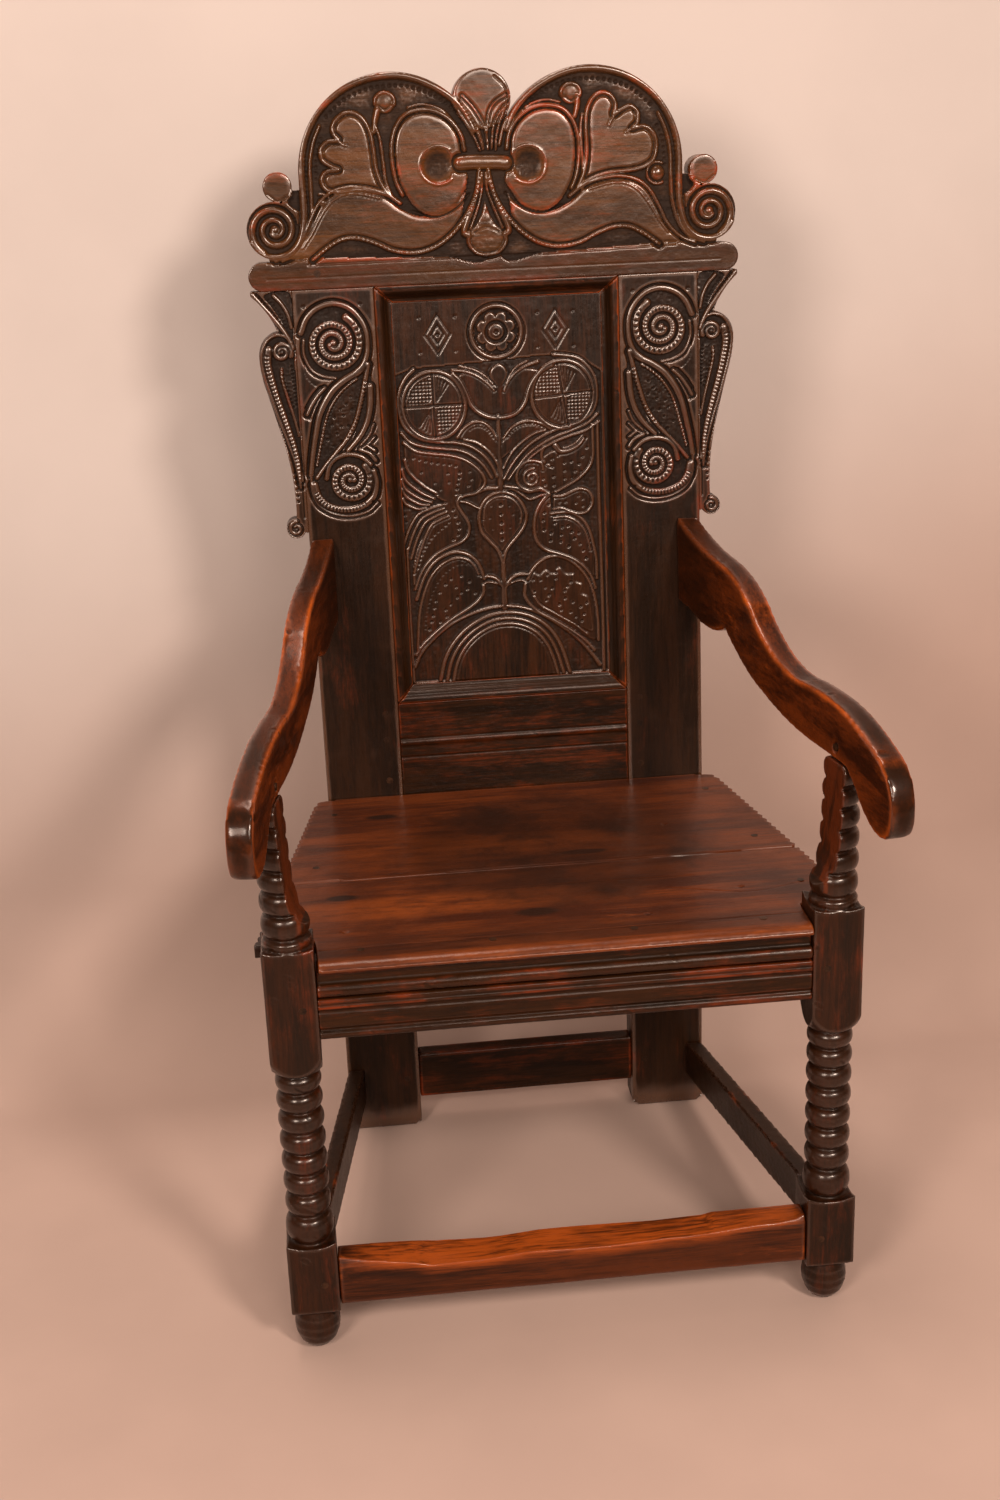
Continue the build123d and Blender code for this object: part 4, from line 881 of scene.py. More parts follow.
def cut_edge_lines(board):
    """Upright lines at the panel's edges."""
    board.ridge("-114.5,2 -114.5,100 -114,160", 3.0, 2.4, top=-0.5)
    board.ridge("111,2 111,110 110,200 110,290", 3.4, 3.0, top=-0.3)

# %% Make the panel


def box_inside(x0, x1, z0, z1):
    """How far a spot lies inside an upright rectangle."""
    def inside(x, z):
        return np.minimum(np.minimum(x - x0, x1 - x), np.minimum(z - z0, z1 - z))

    return inside


def margin(line, *more):
    """Grid lines with a few more outside them, where nothing is carved."""
    return np.unique(np.concatenate([line, more]).round(4))


edge = back_inner_mm - tongue
low, high = back_rail_top + tongue - panel_foot, back_rise / mm - tongue - panel_foot
panel_board = Carving(
    margin(even(-panel_half, panel_half, cell), -edge, -126, 126, edge),
    margin(even(0, panel_high, cell), low, -10, panel_high + 10, high), bold=1.25, seed=10)
for cut in (cut_ground, cut_rosette, cut_lozenges, cut_roundels, cut_tulip, cut_stem, cut_half_leaves,
            cut_bands, cut_upper_left, cut_middle_left, cut_pod, cut_points, cut_upper_right, cut_paddle,
            cut_middle_right, cut_side_stems, cut_lower_left, cut_lower_right, cut_arcs, cut_edge_lines):
    cut(panel_board)
panel = carved_solid(
    "carved_panel", panel_board,
    lambda x, z, out: on_back(x * mm, (z + panel_foot) * mm, (out - panel_recess) * mm),
    box_inside(-edge, edge, low, high), panel_thick,
)
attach(panel, "root")
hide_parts("back_panel")

# %% [markdown]
# ## The scrolled crest rail
# Two lunettes, a shell knob, and an end scroll with its own knob on each side. The outline is a union of
# discs and slabs, as in the CAD model; the cells inside it make the face, and the walls follow it.

# %% Cut the crest's ground
crest_ground = -5.5


def crest_inside(x, v):
    """How far a spot lies inside the crest rail's outline, in millimetres; below 0 it is outside."""
    def disc(cx, cv, radius):
        return radius - np.hypot(x - cx, v - cv)

    def slab(x0, x1, v0, v1):
        return box_inside(min(x0, x1), max(x0, x1), v0, v1)(x, v)

    parts = [slab(-255, 255, 0, 30), slab(-208.5, 208.5, 0, 118.5), disc(-8, 189.5, 31),
             slab(-35, 19, 0, 175)]
    for side in (-1, 1):
        parts += [disc(side * 255, 15, 15), disc(side * 107, 118.5, 101.5), disc(side * 238, 63, 30),
                  disc(side * 232, 108, 15.5), slab(side * 203.5, side * 228, 63, 104),
                  slab(side * 203.5, side * 246, 29, 63)]
    return np.maximum.reduce(parts)


def cut_crest_ground(board):
    """The sunk ground, inside a rim that follows the outline."""
    for side in (-1, 1):
        board.turn(side)
        board.field("""6,134 12,160 24,180 40,196 60,207 84,213 107,214.5 132,211 156,201 177,185 192,164
            201,140 203,118 202,90 204,66 214,44 226,34 200,33 150,31 60,28 6,28""", crest_ground, 2.0)
        # plain hollows between the end scroll, its knob and the lunette
        board.field("211,128 215,118 217,100 222,92 209,82 207,100 207,118", -9, 3.0)
    board.field("-38,178 -26,150 -20,120 4,120 10,150 22,178 10,186 -24,186", crest_ground, 3.0)

# %% Cut the rims and end scrolls


def cut_rims(board):
    """Rims of the lunettes, out under the scrolls and round into their eyes."""
    for side in (-1, 1):
        board.turn(side)
        rim = """18,158 27,177 42,193 62,205.5 84,214 107,216.5 132,213.5 156,204.5 178,188.5 194,167 203,143
            205.5,118 205,92 206,70 212,50 224,38 240,34.5 254,39 264,51"""
        board.ridge(rim, 6.0, 6.5, top=-0.1, foot=-5.0, bank=2.0)
        board.ridge("9,142 16,165 30,182", 3.2, 2.4, top=-1.4, foot=-5.0)
        board.ridge("183,168 191,150 195.5,128 196,100 197.5,76 204,54 216,38 232,31", 3.0, 3.6,
            top=-1.2, foot=-5.0)
        turned = spiral_line((side * 238, 63.5), 27, 5, -60 if side > 0 else 240, 2.05 * side)
        board.field(circle_line((side * 238, 63.5), 26), -5.0, 3.0, smooth=False)
        board.ridge(turned, 6.4, 4.2, top=-0.3, foot=-5.2, raw=True)
        board.raise_ball((side * 238, 63.5), 5.5, -0.8, -5)
        # the knob over the scroll
        board.field(circle_line((side * 232, 108), 15.4), -0.6, 6.0, smooth=False)
        board.groove("222,98 233,94 243,101", 2.6, 1.2)
    # gouge nicks along the sunk ground, inside the rims
    for side in (-1, 1):
        board.turn(side)
        board.dotted("34,176 56,193 82,203.5 107,206 132,203 156,193 175,177", 6.4, 2.4, 1.5)
        board.dotted("181,158 188,138 190,112", 6.0, 2.0, 1.4)
        board.dotted("200,140 201,112 201,88", 5.2, 1.6, 1.2)

# %% Cut the shell knob


def cut_shell(board):
    """The shell knob and the flutes that fan up into it."""
    board.field(circle_line((-8, 189.5), 30.8), -1.0, 6.0, smooth=False)
    shell = """-37,189 -38,198 -31,211 -18,219 -2,219 14,212 22,199 21,190 10,186 1,178 -2,166 -4,153 -9,166
        -17,180 -27,191"""
    board.field(shell, -0.7, 5.0)
    for line in ("-29,193 -18,181 -9.5,167 -4.5,154 -3.5,138", "18,192 7,186 0.5,178 -2.5,166 -4,152",
                 "-39,187 -34,178 -26,165 -17.5,150 -12,137", "-33,186 -23,171 -14,155 -8.5,138",
                 "24,187 16,177 10,164 6,149 5,137", "18,182 9,172 3,159 0.5,138"):
        board.ridge(line, 2.3, 1.6, top=-0.6, foot=-3.4)
    board.dotted("-33,190 -27,180 -20,168 -13,156", 4.6, 1.4, 1.1)
    board.dotted("19,188 12,179 6,168 3,158", 4.6, 1.4, 1.1)
    board.groove("16,172 20,184 17,200 6,212", 2.4, 1.4)

# %% Cut the eyes and the lobes


def cut_eyes(board):
    """The eyes: a shallow dish inside a ring that opens towards the clasp."""
    for side, eye in ((-1, (-58, 123.5)), (1, (39, 121))):
        ring = arc_line(eye, 20.5 * side, 20, range(-130, 131, 13))
        board.field(circle_line(eye, 21), -3.4, 6.0, smooth=False)
        board.ridge(ring, 5.2, 3.4, top=-0.2, foot=-4.6, raw=True)


def cut_lobes(board):
    """The smooth inner lobes; they run down into the long leaves below."""
    for side, shift in ((1, 0), (-1, -12)):
        board.turn(side, shift)
        lobe = """22,140 24,152 32,165 46,174 62,177 77,172 87,160 91,144 91,126 88,108 82,94 72,80 58,72
            44,73 30,80 20,94 14,106 20,128"""
        board.field(lobe, -0.9, 5.0)
        board.ridge("17,138 20,153 30,168 45,178 62,180.5 79,176 90,163 95,145 95,126 92,108 86,94",
            3.8, 3.4, top=-0.2, foot=-4.4)
        board.ridge("26,166 40,180 60,186 76,183", 2.6, 2.0, top=-2.0, foot=-5.2)
        board.groove("14,92 26,80 42,71.5 58,70.5 76,77", 3.4, 2.2, end_width=2.0)
    board.turn(1)
    # the lobes were cut after the eyes, so cut round them again
    for eye in ((-58, 123.5), (39, 121)):
        gap = np.hypot((board.x - eye[0]) / 17.5, (board.z - eye[1]) / 17.5)
        board.face = np.where(gap < 1, -5.2 + 3.6 * gap**2.5, board.face)
        board.raised = np.where(gap < 1, -99, board.raised)
    board.ridge("-34,124.5 -22,125 -8,124.5 6,124 15,123", 12.5, 12, top=0.0, foot=-5.5)

# %% Cut the outer leaves


def cut_outer_leaves(board):
    """Stems between the lobes, and the lobed outer leaves."""
    for side, shift in ((1, 0), (-1, -13)):
        board.turn(side, shift)
        if side > 0:
            leaf = """93,94 101,112 104,132 103.5,154 105,172 111,185 121,191 131,188 136.5,178 134,168
                143,173 153,176 160.5,169 160,159 154,153 166,155 176,149 180.5,136 177,121 166,113 150,110
                128,108.5 108,103"""
            curls = ("136.5,178 136,170 132,163 129,157", "160.5,168 159,158 152,152 147,149")
            bud, pearl, pearl_size, pearl_turn = "88,192", "181,106", 8.0, range(60, 301, 16)
            fork = "98,92 99.5,108 98.5,132 98,156 100,170"
            stem = "92,168 95,180 94,190"
        else:
            leaf = """99,94 107,106 112,122 113.5,140 116,158 122,172 132,180 144,179.5 154,171 156,161
                150,153 162,152 170,144 169,134 160,127 152,123 166,121 171,112 166,103 152,100 134,101.5
                116,99"""
            curls = ("156,164 154,157 147,149 142,147", "170,141 168,132 158,126 152,124")
            bud, pearl, pearl_size, pearl_turn = "99,190", "172,90", 5.5, range(-100, 121, 16)
            fork = "95,90 102,108 104,130 106,152 110,166"
            stem = "112,160 110,172 107,182"
        board.field(leaf, -1.3, 5.0)
        board.ridge(and_back(leaf), 3.8, top=-0.2, foot=-4.6)
        for curl in curls:
            board.ridge(curl, 3.6, 2.0, top=-0.2, foot=-2.6)
        board.ridge(stem, 4.0, 6.0, top=-1.0, foot=-5.0)
        board.ridge(fork, 3.2, 2.4, top=-0.8, foot=-4.6)
        spot = board.spots(bud)[0]
        board.raise_ball(spot, 11.5, -1.6, -5.0)
        board.ridge(arc_line(spot, 10.5, 9.5, range(-20, 201, 14)), 3.0, top=-0.4, foot=-4, raw=True)
        board.groove([(spot[0] - 6, spot[1] - 4), (spot[0], spot[1] - 8), (spot[0] + 6, spot[1] - 4)], 3, 1.6)
        spot = board.spots(pearl)[0]
        board.raise_ball(spot, pearl_size, -0.4, -5.5)
        board.ridge(arc_line(spot, pearl_size + 3.4, pearl_size + 3.4, pearl_turn), 2.2, top=-1.6,
                    foot=-5.0, raw=True)

# %% Cut the long leaves


def cut_long_leaves(board):
    """The long leaves at the foot, with their nicked lower edges."""
    for side, shift in ((1, 0), (-1, -17)):
        board.turn(side, shift)
        long_leaf = """-2,104 6,86 18,67 33,51 50,40 70,35 92,38 112,47 132,53 150,52 166,44 180,33 206,33
            190,50 181,68 170,87 156,97 138,101 118,99 100,92 84,80 66,72 46,72 28,80 14,94 6,106"""
        board.field(long_leaf, -1.2, 5.0)
        top_edge = "84,86 100,97 120,103 140,104.5 158,100 172,89 183,70 192,52 206,38 222,31"
        board.ridge(top_edge, 3.6, 3.0, top=-0.2, foot=-4.4)
        board.ridge("106,92 126,97 144,97 158,90 170,76 181,58 192,43", 2.4, 2.0, top=-0.6, foot=-2.4)
        foot_edge = """-4,108 4,86 16,66 31,50 49,38.5 70,33.5 93,36.5 113,45.5 133,51.5 150,50.5 166,42.5
            182,31"""
        board.ridge(foot_edge, 4.2, 3.4, top=-0.2, foot=-4.8)
        board.dotted(foot_edge, 5.0, 1.5, 1.1)
    board.turn(1)

# %% Cut the drop and the lines


def cut_drop(board):
    """The reversed V under the clasp and the drop inside it."""
    board.field("-22,118 6,118 16,92 20,60 14,46 6,30 -22,30 -30,46 -36,60 -30,92", crest_ground, 2.0)
    board.ridge("-14,116 -17,96 -24,76 -33,54 -28,49", 3.6, 5.6, top=-0.1, foot=-4.6)
    board.ridge("-4,116 0,96 8,74 16,54 11,49", 3.6, 5.6, top=-0.1, foot=-4.6)
    board.ridge("-11,114 -12,96 -17,78 -26,56", 2.0, 2.6, top=-1.2, foot=-4.6)
    board.ridge("-7,114 -6,96 1,76 9,56", 2.0, 2.6, top=-1.2, foot=-4.6)
    drop = "-9,84 -13,72 -20,60 -27,52 -27,40 -19,32 -9,29.5 2,32 10,40 10,51 2,60 -5,72"
    board.field(drop, -2.6, 4.0)
    board.ridge("-28,52 -28,40 -20,30.5 -8,27.5 4,30.5 12,40 12,50", 3.4, top=-0.3, foot=-4.4)
    board.groove("-22,52 -9,57 5,52", 2.0, 1.2)


def cut_lines(board):
    """Straight lines over the plain band."""
    board.groove("-204,26 0,26.5 70,27 200,30", 2.6, 1.2)
    board.groove("-250,12.5 -120,12 0,12.5 120,12 250,12.5", 1.2, 0.5)

# %% Make the crest
crest_board = Carving(even(-271, 271, cell), even(-0.5, 221.5, cell), bold=1.32, seed=20)
for cut in (cut_crest_ground, cut_rims, cut_shell, cut_eyes, cut_lobes, cut_outer_leaves, cut_long_leaves,
            cut_drop, cut_lines):
    cut(crest_board)
crest_out, crest_thick = 2.0, 34.0
crest = carved_solid(
    "carved_crest", crest_board,
    lambda x, z, out: on_back(x * mm, back_rise + z * mm, (out + crest_out) * mm),
    crest_inside, crest_thick,
)
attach(crest, "root")
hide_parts("crest_rail")

# %% [markdown]
# ## Back posts and ear brackets
# Each post is one board from the floor to the crest, bent where the back starts to lean. Only its upper
# part is carved, so the rows of its grid are close there and wide apart below. The right post's carving
# is the left one's in a mirror. The brackets are cut from thinner wood and pegged to the posts' edges.

# %% Cut the scrolls


def carve_scrolls(board):
    """The carved S-scroll of the left back post: across the chair, and up from the foot of the crest rail."""
    deep = -3.4
    # upper volute: the sunk ground round it, an outer rim and two and a half turns
    upper = (-183, -59)
    board.field("""-217,-44 -210,-30 -198,-18 -182,-13.5 -166,-18 -152,-30 -144.5,-46 -144,-60 -146,-74
        -151,-84 -163,-95 -182,-99 -203,-96 -214,-86 -217.5,-70""", deep, 1.6)
    board.ridge("""-218,-46 -211,-31 -199,-20.5 -182,-16 -166,-20 -154,-31 -147,-45 -145.5,-60 -147,-73
        -152,-84 -161,-92""", 5.4, 5.0, top=-0.1, foot=-3.6)
    volute = spiral_line(upper, 31.5, 5, 60, -2.6)
    board.ridge(volute, 7.0, 4.6, top=-0.2, foot=-3.8, raw=True)
    board.nicks(volute, 5.5, raw=True)
    board.ridge("-215.5,-54 -216,-70 -209,-86 -197,-94 -183,-97", 2.6, top=-0.8, foot=-3.4)
    board.raise_ball(upper, 4.5, -0.5, -3.6)
    # crescent under the volute
    board.field("-216,-80 -210,-90 -199,-97 -186,-99 -194,-103 -203,-105 -211,-100 -216,-91", -0.3, 2.0)
    board.ridge("-196,-107 -205,-116 -212,-126 -217,-135", 3.4, 3.8, top=-0.3, foot=-3.4)
    board.ridge("-200,-107 -209,-117 -216,-128", 2.0, 2.4, top=-1.4, foot=-3.4)
    # pod leaf that runs down across the post to the lower volute
    leaf = """-146,-84 -158,-92 -172,-99 -184,-108 -194,-121 -202,-137 -208,-156 -213,-177 -216,-198 -217,-209
        -207,-199 -196,-188 -184,-176 -173,-163 -164,-148 -158,-130 -154,-112 -150,-97"""
    board.field(leaf, -2.9, 2.0)
    board.ridge("""-148,-84 -161,-93 -174,-100 -186,-109 -196,-122 -204,-138 -209,-157 -213.5,-178
        -217.5,-202""", 7.2, 5.0, top=0.0, foot=-4.0)
    board.ridge("-160,-99 -173,-108 -184,-119 -193,-133 -199,-150 -205,-172 -210,-192", 2.6, 2.2,
        top=-0.6, foot=-3.4)
    board.ridge("-147,-86 -151,-103 -157,-125 -164,-146 -174,-163 -186,-177 -199,-191 -211,-206", 4.8,
        3.8, top=-0.1, foot=-3.8)
    board.dotted("-163,-102 -176,-112 -187,-126 -195,-141 -201,-158 -206,-178 -211,-198", 4.2, 1.6, 1.3)
    board.dots("""-168,-118 -173,-126 -180,-131 -167,-132 -177,-138 -187,-140 -180,-150 -190,-148 -172,-150
        -185,-158 -196,-164 -189,-172 -181,-167""", 1.9, 1.2)
    # the crescent leaf on its right
    board.field("""-144,-96 -144,-120 -146,-140 -152,-156 -162,-169 -174,-178 -167,-163 -159,-143 -153,-122
        -149,-106""", -2.8, 1.6)
    board.ridge("-145.5,-108 -146.5,-128 -151,-146 -160,-162 -174,-177", 6.4, 4.6, top=0.0, foot=-3.6)
    board.ridge("-144.5,-150 -150,-162 -160,-172", 2.4, top=-0.7, foot=-3.2)
    board.ridge("-144,-164 -151,-171 -160,-177", 2.2, top=-0.9, foot=-3.2)
    board.dotted("-150,-100 -153,-118 -158,-136 -166,-152 -176,-166", 4.4, 1.6, 1.3)
    # lower volute
    lower = (-174, -211)
    board.field("""-207,-204 -203,-192 -192,-181 -175,-177 -158,-181 -147,-192 -143.5,-211 -147,-231 -160,-244
        -180,-249 -200,-246 -213,-236 -218,-220 -217,-208 -211,-212""", deep, 1.6)
    board.ridge("-200,-207 -197,-194 -188,-185 -174,-181.5 -160,-185 -150,-194", 4.6, 4.2, top=-0.1,
        foot=-3.6)
    board.ridge("-161,-177 -150,-182 -144,-190", 3.6, top=-0.3, foot=-3.4)
    board.ridge("-153,-173 -144.5,-179", 3.0, top=-0.5, foot=-3.4)
    volute = spiral_line(lower, 24, 4.5, 40, -2.1)
    board.ridge(volute, 7.2, 5.0, top=-0.2, foot=-3.8, raw=True)
    board.nicks(volute, 5.5, raw=True)
    board.nicks("-214,-221 -206,-234 -191,-243 -173,-243.5 -156,-236.5", 6.0)
    board.raise_ball((lower[0], lower[1] + 1), 4.0, -0.5, -3.6)
    board.ridge("-215,-214 -211,-228 -200,-239 -182,-244 -163,-241 -149.5,-231 -145,-216 -147,-202",
        7.6, 5.6, top=0.0, foot=-4.2)
    board.ridge("-217.5,-204 -217,-222 -210,-238 -194,-248 -174,-251 -156,-247 -145,-238", 2.6,
        top=-0.8, foot=-3.0)
    board.dots("-213,-18 -151,-18 -150,-236 -214,-140", 2.4, 1.0)

# %% The bracket's outline


def ear_outline(side):
    """The bracket's outline, up from the foot of the crest rail."""
    def arc(start, through, end):
        """A circular arc through three points, without its last point."""
        (ax, ay), (bx, by), (cx, cy) = start, through, end
        d = 2 * (ax * (by - cy) + bx * (cy - ay) + cx * (ay - by))
        ux = ((ax**2 + ay**2) * (by - cy) + (bx**2 + by**2) * (cy - ay) + (cx**2 + cy**2) * (ay - by)) / d
        uy = ((ax**2 + ay**2) * (cx - bx) + (bx**2 + by**2) * (ax - cx) + (cx**2 + cy**2) * (bx - ax)) / d
        angles = [math.atan2(y - uy, x - ux) for x, y in (start, through, end)]
        sweep = (angles[2] - angles[0]) % (2 * math.pi)
        if (angles[1] - angles[0]) % (2 * math.pi) > sweep:
            sweep -= 2 * math.pi
        radius = math.hypot(ax - ux, ay - uy)
        return [(ux + radius * math.cos(angles[0] + sweep * s), uy + radius * math.sin(angles[0] + sweep * s))
                for s in np.linspace(0, 1, 12, endpoint=False)]

    foot_x, foot_v = 13.5, -262.0
    line = [(0, 0), (45, 0)]
    line += arc((45, -5), (27, -26), (18.5, -44))
    line += arc((18.5, -44), (34.5, -53), (40.5, -72))
    line += arc((40.5, -72), (39, -91), (34.5, -110))
    line += [(34.5, -110)]
    line += arc((20, -166), (13.5, -204), (12.5, -251))
    line += [(foot_x + 11 * math.cos(a), foot_v + 11 * math.sin(a))
             for a in np.radians(np.arange(94, -160, -14))]
    line += [(0, -268)]
    return np.array([(side * (back_outer_mm + x), v) for x, v in line])

# %% Cut the brackets


def carve_ear(board, side):
    """The bracket's carving, drawn for the left one and mirrored for the right one."""
    board.turn(side, inset=back_outer_mm)
    deep = -3.6
    board.field("2,-4 30,-4 22,-18 14,-32 8,-44 2,-52", deep, 1.6)
    board.ridge("43,-3 34,-14 25,-25 16,-37 8,-50 3,-62", 4.6, 3.4, top=-0.1, foot=-3.6)
    board.ridge("20,-5 12,-14 6,-26 3,-40", 3.0, 2.4, top=-0.5, foot=-3.4)
    board.dotted("40,-2 30,-14 20,-26 13,-36", 4.2, 1.4, 1.1)
    board.dotted("27,-8 19,-18 12,-30 7,-42", 4.0, 1.3, 1.0)
    board.field("""3,-60 8,-52 17,-49.5 27,-53 34,-62 36.5,-75 34,-92 28,-114 20,-142 11,-172 5,-192 2,-200
        2,-120""", deep, 1.6)
    board.ridge("""4,-56 10,-49.5 19,-47 29,-51 36,-61 38.5,-74 36.5,-91 31,-113 24,-138 16,-164 9,-190
        5,-216""", 2.6, 2.2, top=-0.3, foot=-3.6)
    broad = "30,-63 32.5,-76 30,-94 24.5,-117 17.5,-141 11,-165 6.5,-188 4.5,-208"
    board.ridge(broad, 7.4, 4.4, top=0.0, foot=-4.4)
    board.nicks(broad, 6.0, 4.2, 0.45)
    board.ridge("17,-84 17,-96 12.5,-116 7,-138 3,-158", 2.4, 2.0, top=-0.6, foot=-3.4)
    centre = board.spots("15.5,-66")[0]
    board.ridge(spiral_line(centre, 10.5, 3, -20 if side < 0 else 200, 1.6 * -side), 4.4, 3.2, top=-0.2,
                foot=-3.6, raw=True)
    board.raise_ball(centre, 3.4, -0.5, -3.6)
    board.dotted("6,-80 5,-96 4,-112 3.5,-128", 4.2, 1.6, 1.2)
    board.dotted("17,-84 15,-98 11,-112 7,-128", 4.6, 1.6, 1.2)
    board.dotted("12,-196 10,-208 9.5,-222 9.5,-236", 6.4, 2.2, 1.6)
    tip = board.spots("13.5,-262")[0]
    board.ridge(spiral_line(tip, 8, 3, 90, 1.1 * -side), 3.6, 2.8, top=-0.2, foot=-2.8, raw=True)
    board.groove("3,-186 3.4,-214 3.4,-250", 2.2, 1.2)

# %% Make the back posts and the brackets


def on_post(x, s, out):
    """Points of a back post: s runs up its face from the floor, and bends where the back does."""
    s, out = np.broadcast_arrays(s * mm, out * mm)
    raked = on_back(x * mm, s - bend_height, out)
    straight = np.stack([np.broadcast_to(x * mm, s.shape), post_face - out, s], axis=-1)
    share = np.clip((s - bend_height + 0.006) / 0.012, 0, 1)[..., None]
    return straight + (raked - straight) * share


post_top = (bend_height + back_rise) / mm
post_thick, ear_thick = 44.0, 24.0
post_cell, ear_cell = 0.84, 0.8
carving_foot = post_top - 262
for side, name in ((-1, "left_back_post"), (1, "right_back_post")):
    low, high = sorted((side * back_outer_mm, side * back_inner_mm))
    rows = margin(even(carving_foot, post_top, post_cell), *even(0, carving_foot - 2, 7.0))
    board = Carving(even(low, high, post_cell), rows, bold=1.45, seed=30 + side)
    # drawn as the left post, up from the crest's foot
    board.x, board.z = -side * board.x, board.z - post_top
    carve_scrolls(board)
    board.x, board.z = -side * board.x, board.z + post_top
    post = carved_solid(name + "_carved", board, on_post, box_inside(low, high, 0, post_top), post_thick, 0.9)
    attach(post, "root")
    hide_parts(name)

for side, name in ((-1, "left_ear_bracket"), (1, "right_ear_bracket")):
    line = ear_outline(side)

    def ear_inside(x, z):
        gap, _ = nearest(x, z, np.vstack([line, line[:1]]))
        return np.where(enclosed(x, z, line), gap, -gap)

    low, high = line[:, 0].min(), line[:, 0].max()
    board = Carving(even(low - 1, high + 1, ear_cell), even(line[:, 1].min() - 1, 1, ear_cell), bold=1.55,
                    seed=40 + side)
    carve_ear(board, side)
    ear = carved_solid(
        name + "_carved", board, lambda x, z, out: on_back(x * mm, back_rise + z * mm, out * mm),
        ear_inside, ear_thick, 0.7,
    )
    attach(ear, "root")
    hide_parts(name)

# %% [markdown]
# ## Front posts
# Each front post is one square stick that went into the lathe. The turner left two square blocks for the
# joints, cut rings and bobbins between them, and sawed the arm support flat on its inner side. Blender
# can do the same: a profile is spun into the turning, a square bar is added, and a Boolean keeps what
# they share. A voxel remesh then gives one even skin, which smoothing wears as hands and boots did.

# %% Choosing, joining and wearing by operators


def only(piece):
    """Deselects everything, then selects this piece and makes it active."""
    bpy.ops.object.select_all(action="DESELECT")
    piece.select_set(True)
    bpy.context.view_layer.objects.active = piece


def apply_modifier(piece, name, kind, **settings):
    modifier = piece.modifiers.new(name, kind)
    for key, value in settings.items():
        setattr(modifier, key, value)
    only(piece)
    bpy.ops.object.modifier_apply(modifier=modifier.name)


def edit(piece, *steps):
    """Runs edit-mode operators on the whole of a piece."""
    only(piece)
    bpy.ops.object.mode_set(mode="EDIT")
    bpy.ops.mesh.select_all(action="SELECT")
    for step in steps:
        step()
    bpy.ops.object.mode_set(mode="OBJECT")


def weather(piece, voxel, rounds, waver=0.5, wave_size=14.0, seed=1, dents=0.0):
    """An even skin, arrises worn round, and a surface that is nowhere quite flat; sizes in millimetres."""
    apply_modifier(piece, "skin", "REMESH", mode="VOXEL", voxel_size=voxel * mm)
    if rounds:
        apply_modifier(piece, "wear", "SMOOTH", factor=0.5, iterations=rounds)
    mesh = piece.data
    place = read(mesh.vertices, "co")
    x, y, z = place.T / mm
    wave = (uneven(x + 0.37 * y, z, wave_size, seed)
            + uneven(y - 0.29 * x, z + 0.53 * x, wave_size * 0.8, seed + 1)) / 2
    small = (uneven(x + 0.31 * z, y - 0.43 * z, wave_size / 4, seed + 2)
             * uneven(z, x + y, wave_size / 3, seed + 3))
    sink = waver * (1 + wave) / 2 + 0.35 * waver * (1 + small) / 2
    if dents:
        spots = uneven(x + 1.3 * z, y - 0.7 * z, 9, seed + 5) * uneven(z - 0.6 * y, x + 0.4 * z, 11, seed + 6)
        sink = sink + dents * np.clip((spots - 0.35) / 0.3, 0, 1)
    place -= read(mesh.vertex_normals, "vector") * (sink * mm)[:, None]
    mesh.vertices.foreach_set("co", place.ravel())
    mesh.update()
    worn_and_hollow(mesh)
    mesh.shade_smooth()


def worn_copy(node_name, voxel, rounds, **wear):
    """A CAD piece taken over with the same place and size, but worn."""
    piece = nodes[node_name].copy()
    piece.data = nodes[node_name].data.copy()
    piece.name = node_name + "_worn"
    bpy.context.scene.collection.objects.link(piece)
    piece.hide_render = False
    edit(piece, lambda: bpy.ops.mesh.remove_doubles(threshold=0.00001))
    weather(piece, voxel, rounds, **wear)
    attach(piece, "root")
    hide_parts(node_name)
    print(piece.name, len(piece.data.polygons))
    return piece


# %% The turner's profile
foot_high, foot_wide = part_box("front_stretcher")[0].z / mm - 5.8, 24.2
block_half = 25.7
low_block_top, high_block_foot, high_block_top = 135.2, 324.5, 466.0
arm_seat = 611.0
post_axis_y = front_face / mm + block_half
post_axis_x = 271.0


def bulge(low, high, valley, radius, fullness=0.62, count=9):
    """One turned ring, as (radius, height) points from its lower valley to its upper one."""
    points = []
    for share in np.linspace(0, 1, count):
        swell = max(0.0, 1 - abs(2 * share - 1) ** 2.4) ** fullness
        points.append((valley + (radius - valley) * swell, low + (high - low) * share))
    return points


